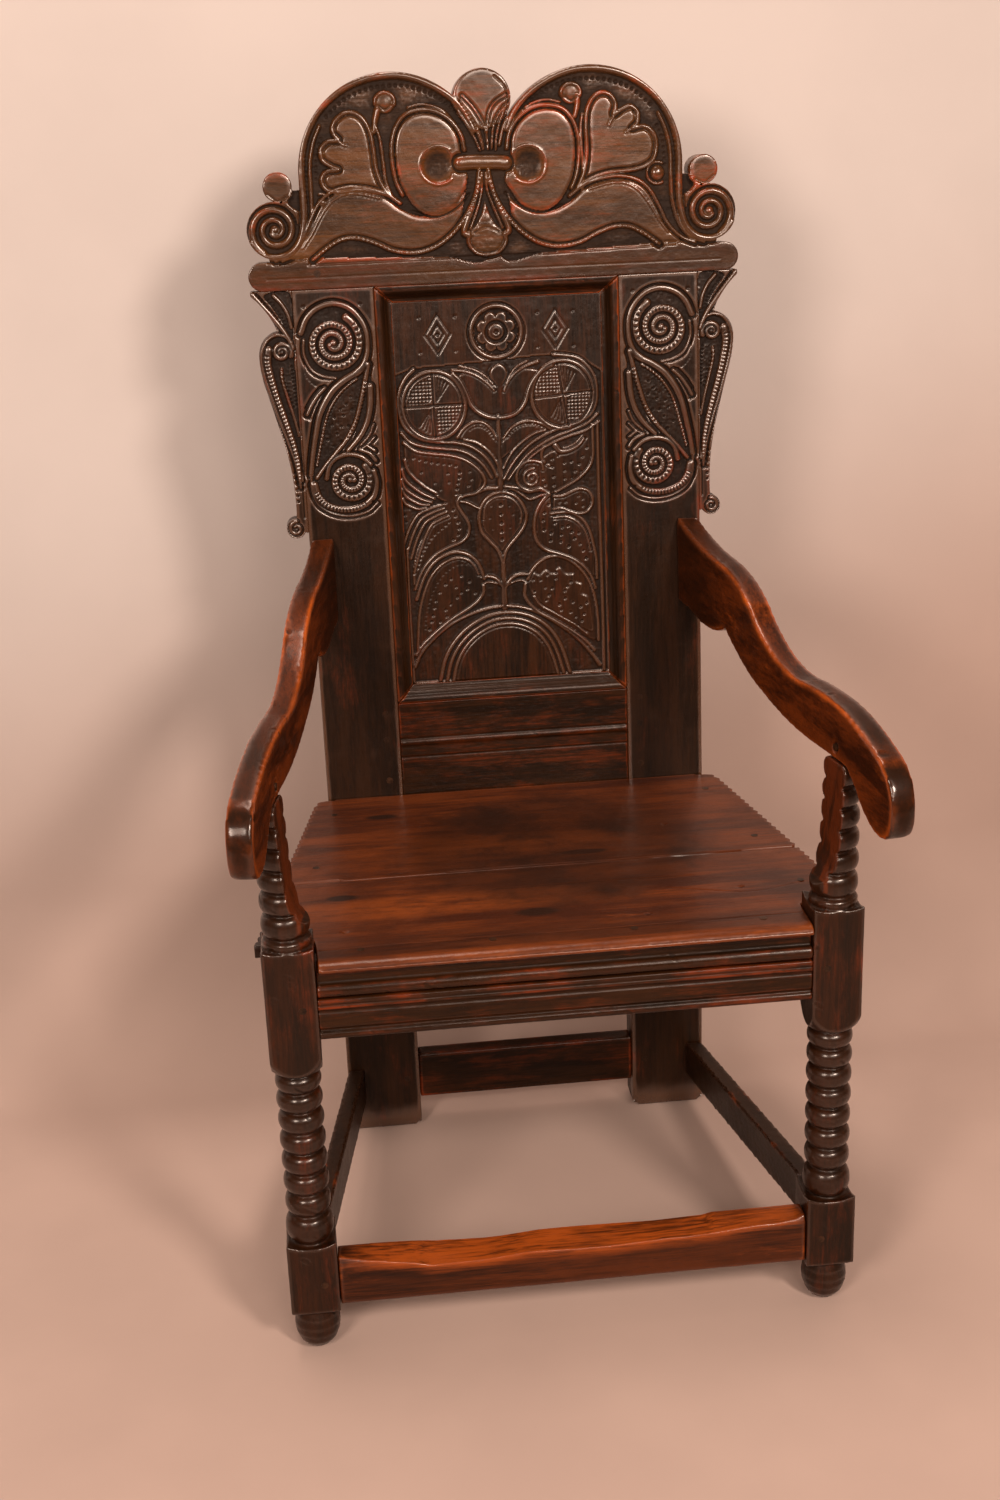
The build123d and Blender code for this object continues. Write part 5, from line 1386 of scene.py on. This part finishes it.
def turned_profile():
    foot = [(0, 0), (0.24, 0.0), (0.55, 0.045), (0.82, 0.19), (0.96, 0.38), (1.0, 0.56), (0.94, 0.76),
            (0.8, 0.92), (0.73, 0.995)]
    line = [(r * foot_wide, h * foot_high) for r, h in foot]
    # the square block, dished at its top so that the corners stand up
    line += [(36, foot_high + 0.2), (37.5, foot_high + 4), (37.5, low_block_top - 1.2),
             (35.6, low_block_top - 0.2), (30, low_block_top - 3.4), (25.5, low_block_top - 6.0),
             (21, low_block_top - 6.6)]
    ring_foot = low_block_top - 5.5
    middles = [149.5, 175, 199, 222.5, 246.5, 270, 293.5, 314]
    edges = [ring_foot] + [(a + b) / 2 + 0.4 for a, b in zip(middles, middles[1:])] + [high_block_foot + 0.5]
    for index, (low, high) in enumerate(zip(edges, edges[1:])):
        line += bulge(low, high, 15.8, 25.0 if index == 0 else 23.6)
    # the upper block, with its rounded foot
    line += [(19.5, high_block_foot + 1.0), (24.6, high_block_foot + 2.4), (28.8, high_block_foot + 7),
             (33.5, high_block_foot + 15), (37.5, high_block_foot + 24), (37.5, high_block_top - 1.5),
             (35.4, high_block_top - 0.3), (30, high_block_top - 2.8), (25.5, high_block_top - 4.4),
             (23.5, high_block_top - 4.6)]
    line += bulge(high_block_top - 4.4, high_block_top + 6, 21.5, 24.6, 0.5, 7)
    middles = [486.5, 510, 533, 556, 578.5, 599.5]
    edges = [high_block_top + 6.4] + [(a + b) / 2 for a, b in zip(middles, middles[1:])] + [arm_seat]
    for low, high in zip(edges, edges[1:]):
        line += bulge(low, high, 17.2, 24.3, 0.55)
    return line + [(0, arm_seat)]


# %% Turn, square and saw the two posts


def turn_post(side, name):
    axis = (side * post_axis_x, post_axis_y)
    line = turned_profile()
    mesh = bpy.data.meshes.new(name + "_turned")
    mesh.from_pydata([((axis[0] + r) * mm, axis[1] * mm, z * mm) for r, z in line],
                     [(i, i + 1) for i in range(len(line) - 1)], [])
    post = put(name + "_turned", mesh)
    edit(post, lambda: bpy.ops.mesh.spin(steps=72, angle=2 * math.pi,
                                         center=(axis[0] * mm, axis[1] * mm, 0), axis=(0, 0, 1)),
         lambda: bpy.ops.mesh.select_all(action="SELECT"),
         lambda: bpy.ops.mesh.remove_doubles(threshold=0.00002),
         lambda: bpy.ops.mesh.normals_make_consistent(inside=False))
    bpy.ops.mesh.primitive_cube_add(size=1, location=(axis[0] * mm, axis[1] * mm, arm_seat * mm / 2))
    bar = bpy.context.active_object
    bar.scale = (2 * block_half * mm, 2 * block_half * mm, (arm_seat + 2) * mm)
    bpy.ops.object.transform_apply(location=True, rotation=True, scale=True)
    # the arm support is sawn flat on its inner side, and the cut runs out above the block
    lean = math.radians(9.7)
    inner = -2.6 * math.cos(lean)
    cut = [(inner + across, arm_seat + up) for across, up in (
        (0.2, 2), (-3, -70), (-4.6, -92), (-8, -107), (-14, -119), (-25, -127), (-45, -127), (-45, 2))]
    corners = [((axis[0] + side * (across * math.cos(lean) - reach * math.sin(lean))) * mm,
                (axis[1] + across * math.sin(lean) + reach * math.cos(lean)) * mm, z * mm)
               for reach in (-40, 40) for across, z in cut]
    sides = len(cut)
    faces = [list(range(sides)), list(range(2 * sides - 1, sides - 1, -1))]
    faces += [[(i + 1) % sides, i, i + sides, (i + 1) % sides + sides] for i in range(sides)]
    saw_mesh = bpy.data.meshes.new("saw")
    saw_mesh.from_pydata(corners, [], faces)
    saw = put("saw", saw_mesh)
    edit(saw, lambda: bpy.ops.mesh.normals_make_consistent(inside=False))
    apply_modifier(post, "square", "BOOLEAN", operation="INTERSECT", solver="EXACT", object=bar)
    apply_modifier(post, "saw", "BOOLEAN", operation="DIFFERENCE", solver="EXACT", object=saw)
    for tool in (bar, saw):
        bpy.data.objects.remove(tool)
    weather(post, 1.35, 3, waver=0.35, seed=50 + side, dents=0.5)
    # mark the sawn flat, which the finish leaves paler
    x, y, z = read(post.data.vertices, "co").T / mm
    across = (x - axis[0]) * side * math.cos(lean) + (y - axis[1]) * math.sin(lean)
    cut_line = np.interp(z, [up for _, up in cut[4:0:-1]] + [arm_seat], [across for across, _ in cut[4::-1]])
    flat = np.clip(2.0 - np.abs(across - cut_line), 0, 1)
    carry(post.data, "sawn", flat * (z > high_block_top + 14))
    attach(post, "root")
    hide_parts(name)
    print(post.name, len(post.data.polygons))


turn_post(-1, "front_left_post")
turn_post(1, "front_right_post")

# %% [markdown]
# ## Rails, mouldings and stretchers
# These are straight planed lengths, so the CAD pieces already have their shape and only lack three
# hundred years of use. Each is copied, remeshed into an even skin and smoothed, which rounds its
# arrises by about the size of a cell, and then sunk a little here and there so that light breaks on it.

# %% Wear the straight pieces
for name, voxel, rounds in (
    ("front_seat_rail", 1.5, 2), ("front_apron_moulding", 1.1, 1), ("panel_bottom_rail", 1.5, 2),
    ("panel_moulding_top", 1.2, 1), ("panel_moulding_bottom", 1.2, 1), ("panel_moulding_left", 1.2, 1),
    ("panel_moulding_right", 1.2, 1), ("rear_seat_rail", 2.4, 2), ("left_seat_rail", 2.2, 2),
    ("right_seat_rail", 2.2, 2), ("rear_stretcher", 2.4, 3), ("left_stretcher", 2.0, 4),
    ("right_stretcher", 2.0, 4),
):
    piece = worn_copy(name, voxel, rounds, waver=0.35, seed=60 + len(name),
                      dents=0.5 if "seat" in name else 0.2)

# %% [markdown]
# ## Front stretcher and arms
# Boots have worn the stretcher's front top edge into a long hollow, deepest in the middle. The arms are
# sawn from thick planks and rubbed round by sleeves and hands, so their skin is smoothed much more. The
# right hand droops a little lower than the left.

# %% Wear the stretcher and the arms


def move_points(piece, shift):
    """Moves each point by what shift(x, y, z) gives, all in millimetres."""
    mesh = piece.data
    x, y, z = read(mesh.vertices, "co").T / mm
    dx, dy, dz = shift(x, y, z)
    mesh.vertices.foreach_set("co", (np.stack([x + dx, y + dy, z + dz], axis=1) * mm).ravel())
    mesh.update()


def trodden(x, y, z):
    """How far a point stands over the long slope that boots wore, with the slope's sine and cosine."""
    low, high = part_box("front_stretcher")
    top, front = high.z / mm, low.y / mm
    at_front = np.interp(x, [-246, -236, -200, -151, -95, -38, 46, 116, 169, 235, 246],
                         [0, 3, 8, 18, 17, 13.5, 15, 13, 10, 5, 0])
    at_back = np.interp(x, [-221, -190, -169, -144, -95, -74, -49, -35, 10, 81, 116, 140, 151],
                        [0, 2, 3.2, 7.5, 9.5, 8.5, 6, 4.2, 4.4, 6.3, 5.5, 4.2, 0])
    at_front = at_front * (1 + 0.10 * uneven(x, x * 0, 24, 5))
    slope = np.arctan((at_front - at_back) / 26)
    over = (z - top + at_front - (y - front) * np.tan(slope)) * np.cos(slope)
    return over, np.sin(slope), np.cos(slope), np.clip(at_front / 8, 0, 1) * (np.abs(x) < 246)


def tread(x, y, z):
    over, sine, cosine, worn_here = trodden(x, y, z)
    over = np.maximum(over, 0) * (worn_here > 0)
    return x * 0, over * sine, -over * cosine


stretcher = worn_copy("front_stretcher", 1.6, 5, waver=0.5, seed=71, dents=0.3)
move_points(stretcher, tread)
apply_modifier(stretcher, "soften", "SMOOTH", factor=0.5, iterations=6)
over, _, _, worn_here = trodden(*(read(stretcher.data.vertices, "co") / mm).T)
carry(stretcher.data, "trod", np.clip(1 + (over + 1) / 12, 0, 1) ** 1.5 * worn_here)
worn_and_hollow(stretcher.data, reach=9, worn_scale=0.5)
stretcher.data.shade_smooth()

for side, name in ((-1, "left_arm"), (1, "right_arm")):
    arm = worn_copy(name, 1.9, 34, waver=0.8, wave_size=24, seed=80 + side, dents=0.5)
    if side > 0:
        hand_start = front_face / mm + 20
        move_points(arm, lambda x, y, z: (x * 0, y * 0, -9 * np.clip((hand_start - y) / 110, 0, 1) ** 1.5))
    worn_and_hollow(arm.data, reach=12, worn_scale=0.8)
    # sleeves never polished the top of the hand, its front end and the wood beside the back post
    y = read(arm.data.vertices, "co")[:, 1]
    facing = read(arm.data.vertex_normals, "vector")
    on_top = np.interp(y, [-0.2, -0.14, -0.08, 0.02, 0.12], [0.9, 0.8, 0.3, 0.3, 0.75])
    on_top = on_top * np.clip((facing[:, 2] - 0.8) / 0.15, 0, 1)
    at_end = np.clip((-facing[:, 1] - 0.35) / 0.3, 0, 1) * (y < -0.25)
    by_post = np.clip((y - 0.09) / 0.09, 0, 1) * 0.8
    carry(arm.data, "waxed", np.maximum.reduce([on_top, at_end, by_post]))

# %% [markdown]
# ## The seat
# Two boards lie across the rails. The front one ends in a worn nosing and is notched round the posts.
# They are made as the carvings are, with the top as the face, because the grid can hold the long
# scratches, the open crack along the joint and the toothed saw marks of the side edges.

# %% Lay the seat boards
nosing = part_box("seat_front_board")[0].y / mm
board_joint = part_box("seat_front_board")[1].y / mm
seat_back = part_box("seat_rear_board")[1].y / mm
seat_front_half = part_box("seat_front_board")[1].x / mm
notch_x, notch_y = 244.5, front_face / mm + 52.2        # the corner that is notched round a front post
rear_half = 241.0                                       # half the seat's width at the back posts
side_slope = (seat_front_half - rear_half) / (post_face / mm - notch_y)
tooth_pitch, tooth_depth = 12.4, 4.2
board_thick, seat_grid = 14.0, 1.4


def half_at(y):
    return rear_half + side_slope * (post_face / mm - y)


def board_inside(corners, tooth_from):
    line = np.array(corners + corners[:1], float)

    def inside(x, y):
        gap, _ = nearest(x, y, line)
        teeth = (0.5 - np.abs((y / tooth_pitch) % 1.0 - 0.5)) * 2 * tooth_depth
        teeth = teeth * (np.abs(x) > tooth_from) * (y > notch_y + 8)
        return np.where(enclosed(x, y, line[:-1]), gap, -gap) - teeth

    return inside


def finer_sides(half, fine_from, fine=1.0, coarse=2.2):
    """Grid lines across the seat, close together near the toothed sides."""
    inner = even(-fine_from, fine_from, coarse)
    outer = even(fine_from + fine, half, fine)
    return np.concatenate([-outer[::-1], inner, outer])


def on_seat(x, y, out):
    x, y, out = np.broadcast_arrays(x, y, out)
    return np.stack([x * mm, y * mm, seat_top + out * mm], axis=-1)


front_board = Carving(finer_sides(seat_front_half + 1, 236), even(nosing - 1, board_joint + 1, seat_grid),
                      seed=90)
run = front_board.z - nosing
front_board.face = np.interp(run, [0, 1.2, 3, 6, 9.5, 14, 40], [-6.2, -4.4, -2.7, -1.2, -0.5, -0.2, 0])
front_board.face -= 0.6 * np.clip((run - 190) / 10, 0, 1)
front_board.groove([(-240, nosing + 33), (-80, nosing + 35), (60, nosing + 34), (240, nosing + 36)], 2.6, 0.8)
front_board.groove([(-60, nosing + 150), (60, nosing + 149), (150, nosing + 146)], 2.4, 0.6)
front_board.groove([(120, nosing + 120), (200, nosing + 95), (262, nosing + 110)], 2.6, 0.7)
front_board.dots([(195, nosing + 108), (-215, nosing + 72), (90, nosing + 60)], 3.4, 1.6)
front_corners = [(2.5 - notch_x, nosing + 1), (7 - notch_x, nosing), (notch_x, nosing), (notch_x, notch_y),
                 (seat_front_half, notch_y), (half_at(board_joint), board_joint),
                 (-half_at(board_joint), board_joint), (-seat_front_half, notch_y), (-notch_x, notch_y)]
piece = carved_solid("seat_front_board_worn", front_board, on_seat, board_inside(front_corners, 250),
                     board_thick, 0.8, 9.0)
move_points(piece, lambda x, y, z: (
    x * 0, np.where(z < seat_top / mm - 9.5, np.maximum(front_face / mm + 8 - y, 0), 0), z * 0))
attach(piece, "root")
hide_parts("seat_front_board")

rear_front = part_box("seat_rear_board")[0].y / mm
rear_board = Carving(finer_sides(half_at(rear_front) + 1, 226),
                     even(rear_front - 1, seat_back + 1, seat_grid), seed=95)
rear_board.face -= 0.8 * np.clip((rear_front + 6 - rear_board.z) / 6, 0, 1)
rear_board.groove([(120, rear_front), (165, rear_front + 1.5), (215, rear_front), (262, rear_front - 1)],
                  5.0, 5.0)
rear_board.groove([(-100, rear_front + 2), (0, rear_front + 3), (150, rear_front + 1)], 2.4, 0.9)
rear_board.dots([(150, rear_front + 90), (-120, rear_front + 140)], 3.0, 1.4)
rear_corners = [(half_at(rear_front), rear_front), (rear_half, seat_back - 14), (236, seat_back - 4),
                (228, seat_back)]
rear_corners = [(-half_at(rear_front), rear_front), *rear_corners, *((-x, y) for x, y in rear_corners[:0:-1])]
piece = carved_solid("seat_rear_board_worn", rear_board, on_seat, board_inside(rear_corners, 215),
                     board_thick, 0.8)
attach(piece, "root")
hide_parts("seat_rear_board")

# %% [markdown]
# ## Oak finishes
# The frame is oak that three centuries of wax and smoke have turned nearly black. Hands and dusters have
# worn it back to orange where it stands proud, and dust lies dull in the hollows. One function makes
# every oak finish: a grain of stretched noise, pores, mottling, and the "worn" and "hollow" attributes.

# %% Oak, in any colour and grain direction


def oak(name, grain, dark, light, rub, hollow_tone=(0.007, 0.0032, 0.0016), wear=0.5, patches=0.3,
        shine=0.36, gloss=0.22, coat=0.12, relief=0.4, proud=(0.03, 0.011, 0.004), coat_blur=0.15,
        flat_coat=0.06, coat_ior=1.5, streaks=1.0, glow=None, shade=None, shade_tone=None):
    """A finish. grain is the axis that the wood runs along, and dark and light are its own tones.

    rub is what shows where it is rubbed, proud is the tone of edges and hollow_tone the dust's. glow and
    shade are functions that say where the wood turns to rub and to shade_tone."""
    finish, tree, shader = new_finish(name, shine, gloss)
    place = add_node(tree, "ShaderNodeTexCoord", out=3)

    def stretched(along, crosswise):
        scale = [crosswise] * 3
        scale[grain] = along
        return place.node("ShaderNodeMapping", None, {"Vector": place, "Scale": tuple(scale)})

    worn, hollow = place.mark("worn"), place.mark("hollow")
    figure = stretched(5, 48).cloud(1.0, 5.0, 0.62)
    fibre = stretched(16, 380).cloud(1.0, 3.0, 0.7)
    pore = stretched(55, 1300).cloud(1.0, 2.0, 0.5).step(0.60, 0.70)
    smear = stretched(9, 34).cloud(1.0, 5.0, 0.75)
    mottle = place.cloud(8.0, 5.0, 0.65)
    grit = place.cloud(380.0, 3.0) - 0.5
    wood = (figure * 0.65 + fibre * 0.35).step(0.38, 0.62).tint(dark, light)
    wood = (mottle.step(0.4, 0.7) * 0.5).tint(wood, dark)
    wood = (pore * 0.5).tint(wood, hollow_tone)
    # every proud edge is a little browner; here and there it is worn right back to warm wood
    # on the carved finishes the pale tan proud tone is partly a painted sheen along the ridges, as well as
    # wear
    wood = (worn.step(0.0, 0.8) * 0.6).tint(wood, proud)
    rubbed = mottle * 0.55 + smear * 0.45
    edge_rub = worn.step(0.2, 0.8) * rubbed.step(0.60 - 0.2 * wear, 0.70 - 0.16 * wear)
    patch = (smear * 0.65 + mottle * 0.35).step(0.64 - 0.14 * patches, 0.76 - 0.12 * patches) * (1 - hollow)
    deep_rub = tuple(0.55 * low + 0.45 * high for low, high in zip(light, rub))
    wood = (patch * 0.85).tint(wood, fibre.step(0.35, 0.65).tint(light, deep_rub))
    wood = (edge_rub * 0.9).tint(wood, smear.step(0.45, 0.65).tint(deep_rub, rub))
    for where, tone in ((glow, rub), (shade, shade_tone)):
        if where:
            stain = where(place, mottle=mottle, smear=smear, grained=figure * 0.5 + fibre * 0.5)
            wood = stain.tint(wood, tone)
    dust = (hollow + grit * 0.25).step(0.25, 1.0)
    feed(tree, shader, "Base Color", (dust * 0.85).tint(wood, hollow_tone))
    blur = shine + dust * 0.3 - worn * 0.08 + (fibre - 0.5) * (0.2 * streaks)
    feed(tree, shader, "Roughness", blur + grit * 0.2 + (mottle - 0.5) * 0.3 + pore * 0.15)
    feed(tree, shader, "Coat Weight", (1 - dust) * (flat_coat + worn.step(0.05, 0.5) * (coat - flat_coat)))
    shader.inputs["Coat Roughness"].default_value = coat_blur
    shader.inputs["Coat IOR"].default_value = coat_ior
    height = fibre * (0.35 * streaks) - pore * (0.5 * streaks) + grit * 0.25 + place.cloud(60.0, 3.0) * 1.4
    bump = place.node("ShaderNodeBump", None, {"Strength": relief, "Distance": 0.0006, "Height": height})
    feed(tree, shader, "Normal", bump)
    return finish


# %% Where the seat is rubbed bright, and where it is stained


def near(place, x, y, long, wide, power=1.0):
    """1 at a spot on the seat and 0 beyond it; metres."""
    along = (place.part(0) - x) / long
    deep = (place.part(1) - y) / wide
    return (1 - (along * along + deep * deep)).step(0.0, 1.0) * power


def seat_glow(place, smear, **_):
    band = near(place, -0.13, -0.088, 0.26, 0.034).most(near(place, -0.05, 0.06, 0.2, 0.05, 0.7))
    nosing_edge = 1 - place.part(1).step(-0.2065, -0.198)
    return band * 0.65 * smear.step(0.3, 0.6) + nosing_edge * smear.step(0.42, 0.66) * 0.5


def seat_stains(place, mottle, **_):
    knots = near(place, 0.05, 0.02, 0.03, 0.008, 0.6)
    for x, y, long, wide in ((-0.215, -0.056, 0.02, 0.009), (-0.02, -0.126, 0.028, 0.012),
                             (-0.165, 0.164, 0.024, 0.009)):
        knots = knots.most(near(place, x, y, long, wide))
    ends = (place.part(0) ** 2).step(0.084, 0.087)
    front = place.part(1).step(-0.200, -0.194) * (1 - place.part(1).step(-0.185, -0.13)) * 0.5
    middle = near(place, 0.02, 0.04, 0.22, 0.2, 1.4).step(0.0, 1.0) * 0.6
    return (knots + mottle.step(0.46, 0.74) * 0.4 + middle).most(front).most(ends).step(0.0, 1.0)


def band_shade(place, mottle, **_):
    """The crest's plain band, under its carving."""
    return (1 - place.part(2).step(band_top - 0.003, band_top + 0.002)) * (0.35 + 0.5 * mottle)


def trod_wood(place, smear, grained, **_):
    return place.mark("trod") * (0.2 + 0.8 * grained.step(0.40, 0.56)) * (0.55 + 0.45 * smear.step(0.3, 0.6))


# %% The chair's finishes
across, along_y, upright = 0, 1, 2
band_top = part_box("crest_rail")[0].z + 0.030
black, brown, orange = (0.0085, 0.0034, 0.0009), (0.027, 0.0100, 0.0027), (0.24, 0.045, 0.006)
red = (0.14, 0.022, 0.004)
dark_up = oak("dark_oak_upright", upright, black, brown, orange, wear=0.35, patches=0.25, coat=0.2)
dark_across = oak("dark_oak_across", across, black, (0.030, 0.0105, 0.0028), (0.19, 0.030, 0.005), wear=0.8,
                  patches=1.15, coat=0.2, gloss=0.16)
dark_deep = oak("dark_oak_deep", along_y, black, brown, orange, wear=0.35, patches=0.4)
moulding_up = oak("moulding_oak_upright", upright, black, brown, orange, wear=1.15, patches=0.7, coat=0.25)
moulding_across = oak("moulding_oak_across", across, black, brown, orange, wear=1.15, patches=0.9, coat=0.25)
peg_oak = oak("peg_oak", along_y, black, (0.05, 0.020, 0.008), orange)
# the carved finishes' pale tan proud tone stands partly for a painted sheen on the ridges, besides their wear
carved = {"gloss": 0.2, "coat": 1.0, "shine": 0.38, "coat_blur": 0.26, "coat_ior": 1.9, "relief": 0.6,
          "proud": (0.095, 0.036, 0.0115)}
carved_up = oak("carved_oak_upright", upright, black, (0.024, 0.0085, 0.0023), red, wear=0.35, patches=0.75,
                **carved)
carved_panel = oak("carved_oak_panel", upright, black, (0.036, 0.0115, 0.0027), red, wear=0.45, patches=1.0,
                   flat_coat=0.08, **carved)
carved_across = oak("carved_oak_across", across, (0.036, 0.0148, 0.0038), (0.110, 0.043, 0.0100),
                    (0.28, 0.036, 0.004), wear=0.6, patches=1.2, proud=(0.070, 0.026, 0.0080),
                    coat_blur=0.20, coat=1.0, flat_coat=0.2, coat_ior=1.6, relief=1.0, streaks=0.3,
                    shade=band_shade, shade_tone=(0.022, 0.0070, 0.0016))
sawn_oak = oak("post_oak", upright, black, (0.030, 0.0088, 0.0022), red, wear=0.35, patches=1.05, gloss=0.2,
               coat=0.8, shine=0.4, coat_blur=0.21, flat_coat=0.15, shade_tone=(0.10, 0.020, 0.0035),
               shade=lambda place, smear, **_: place.mark("sawn") * (0.1 + 0.9 * smear.step(0.40, 0.56)))
seat_oak = oak("seat_oak", across, (0.046, 0.0090, 0.0014), (0.150, 0.0340, 0.0052), (0.30, 0.070, 0.009),
               wear=0.25, patches=0.45, shine=0.44, gloss=0.12, coat=0.60, flat_coat=0.45, coat_blur=0.26,
               proud=(0.12, 0.028, 0.006), glow=seat_glow, shade=seat_stains,
               shade_tone=(0.020, 0.0056, 0.0015))
stretcher_oak = oak("stretcher_oak", across, (0.016, 0.0046, 0.0013), (0.085, 0.0200, 0.0042),
                    (0.26, 0.055, 0.008), patches=0.7, shine=0.4, gloss=0.2, coat=0.5,
                    proud=(0.08, 0.019, 0.005), shade=trod_wood, shade_tone=(0.33, 0.068, 0.008))
arm_oak = oak("arm_oak", along_y, (0.028, 0.0062, 0.0013), (0.145, 0.030, 0.0047), (0.46, 0.094, 0.010),
              wear=1.1, patches=0.7, shine=0.46, gloss=0.08, coat=0.8, flat_coat=0.16,
              proud=(0.21, 0.044, 0.006), shade_tone=(0.017, 0.0060, 0.0020),
              shade=lambda place, smear, **_: place.mark("waxed") * (0.7 + 0.3 * smear.step(0.35, 0.6)))
print("finishes", len(bpy.data.materials))

# %% Put the finishes on
wears = (("peg", peg_oak), ("dowel", peg_oak), ("board", seat_oak), ("front_stretcher", stretcher_oak),
         ("left_arm", arm_oak), ("right_arm", arm_oak), ("moulding_left", moulding_up),
         ("moulding_right", moulding_up), ("panel_moulding", moulding_across), ("bottom_rail", dark_across),
         ("rear_seat_rail", dark_across), ("front_seat_rail", dark_across), ("front_apron", dark_across),
         ("rear_stretcher", dark_across), ("carved_crest", carved_across), ("carved_panel", carved_panel),
         ("carved", carved_up), ("turned", sawn_oak), ("stretcher", dark_deep), ("seat_rail", dark_deep),
         ("", dark_up))
for piece in bpy.data.objects:
    if piece.type == "MESH" and piece.name != "paper":
        piece.data.materials.clear()
        piece.data.materials.append(next(finish for part, finish in wears if part in piece.name))
triangles = {piece.name: sum(len(face.vertices) - 2 for face in piece.data.polygons)
             for piece in bpy.data.objects if piece.type == "MESH" and not piece.hide_render}
print("triangles", sum(triangles.values()), "most", max(triangles.items(), key=lambda item: item[1]))
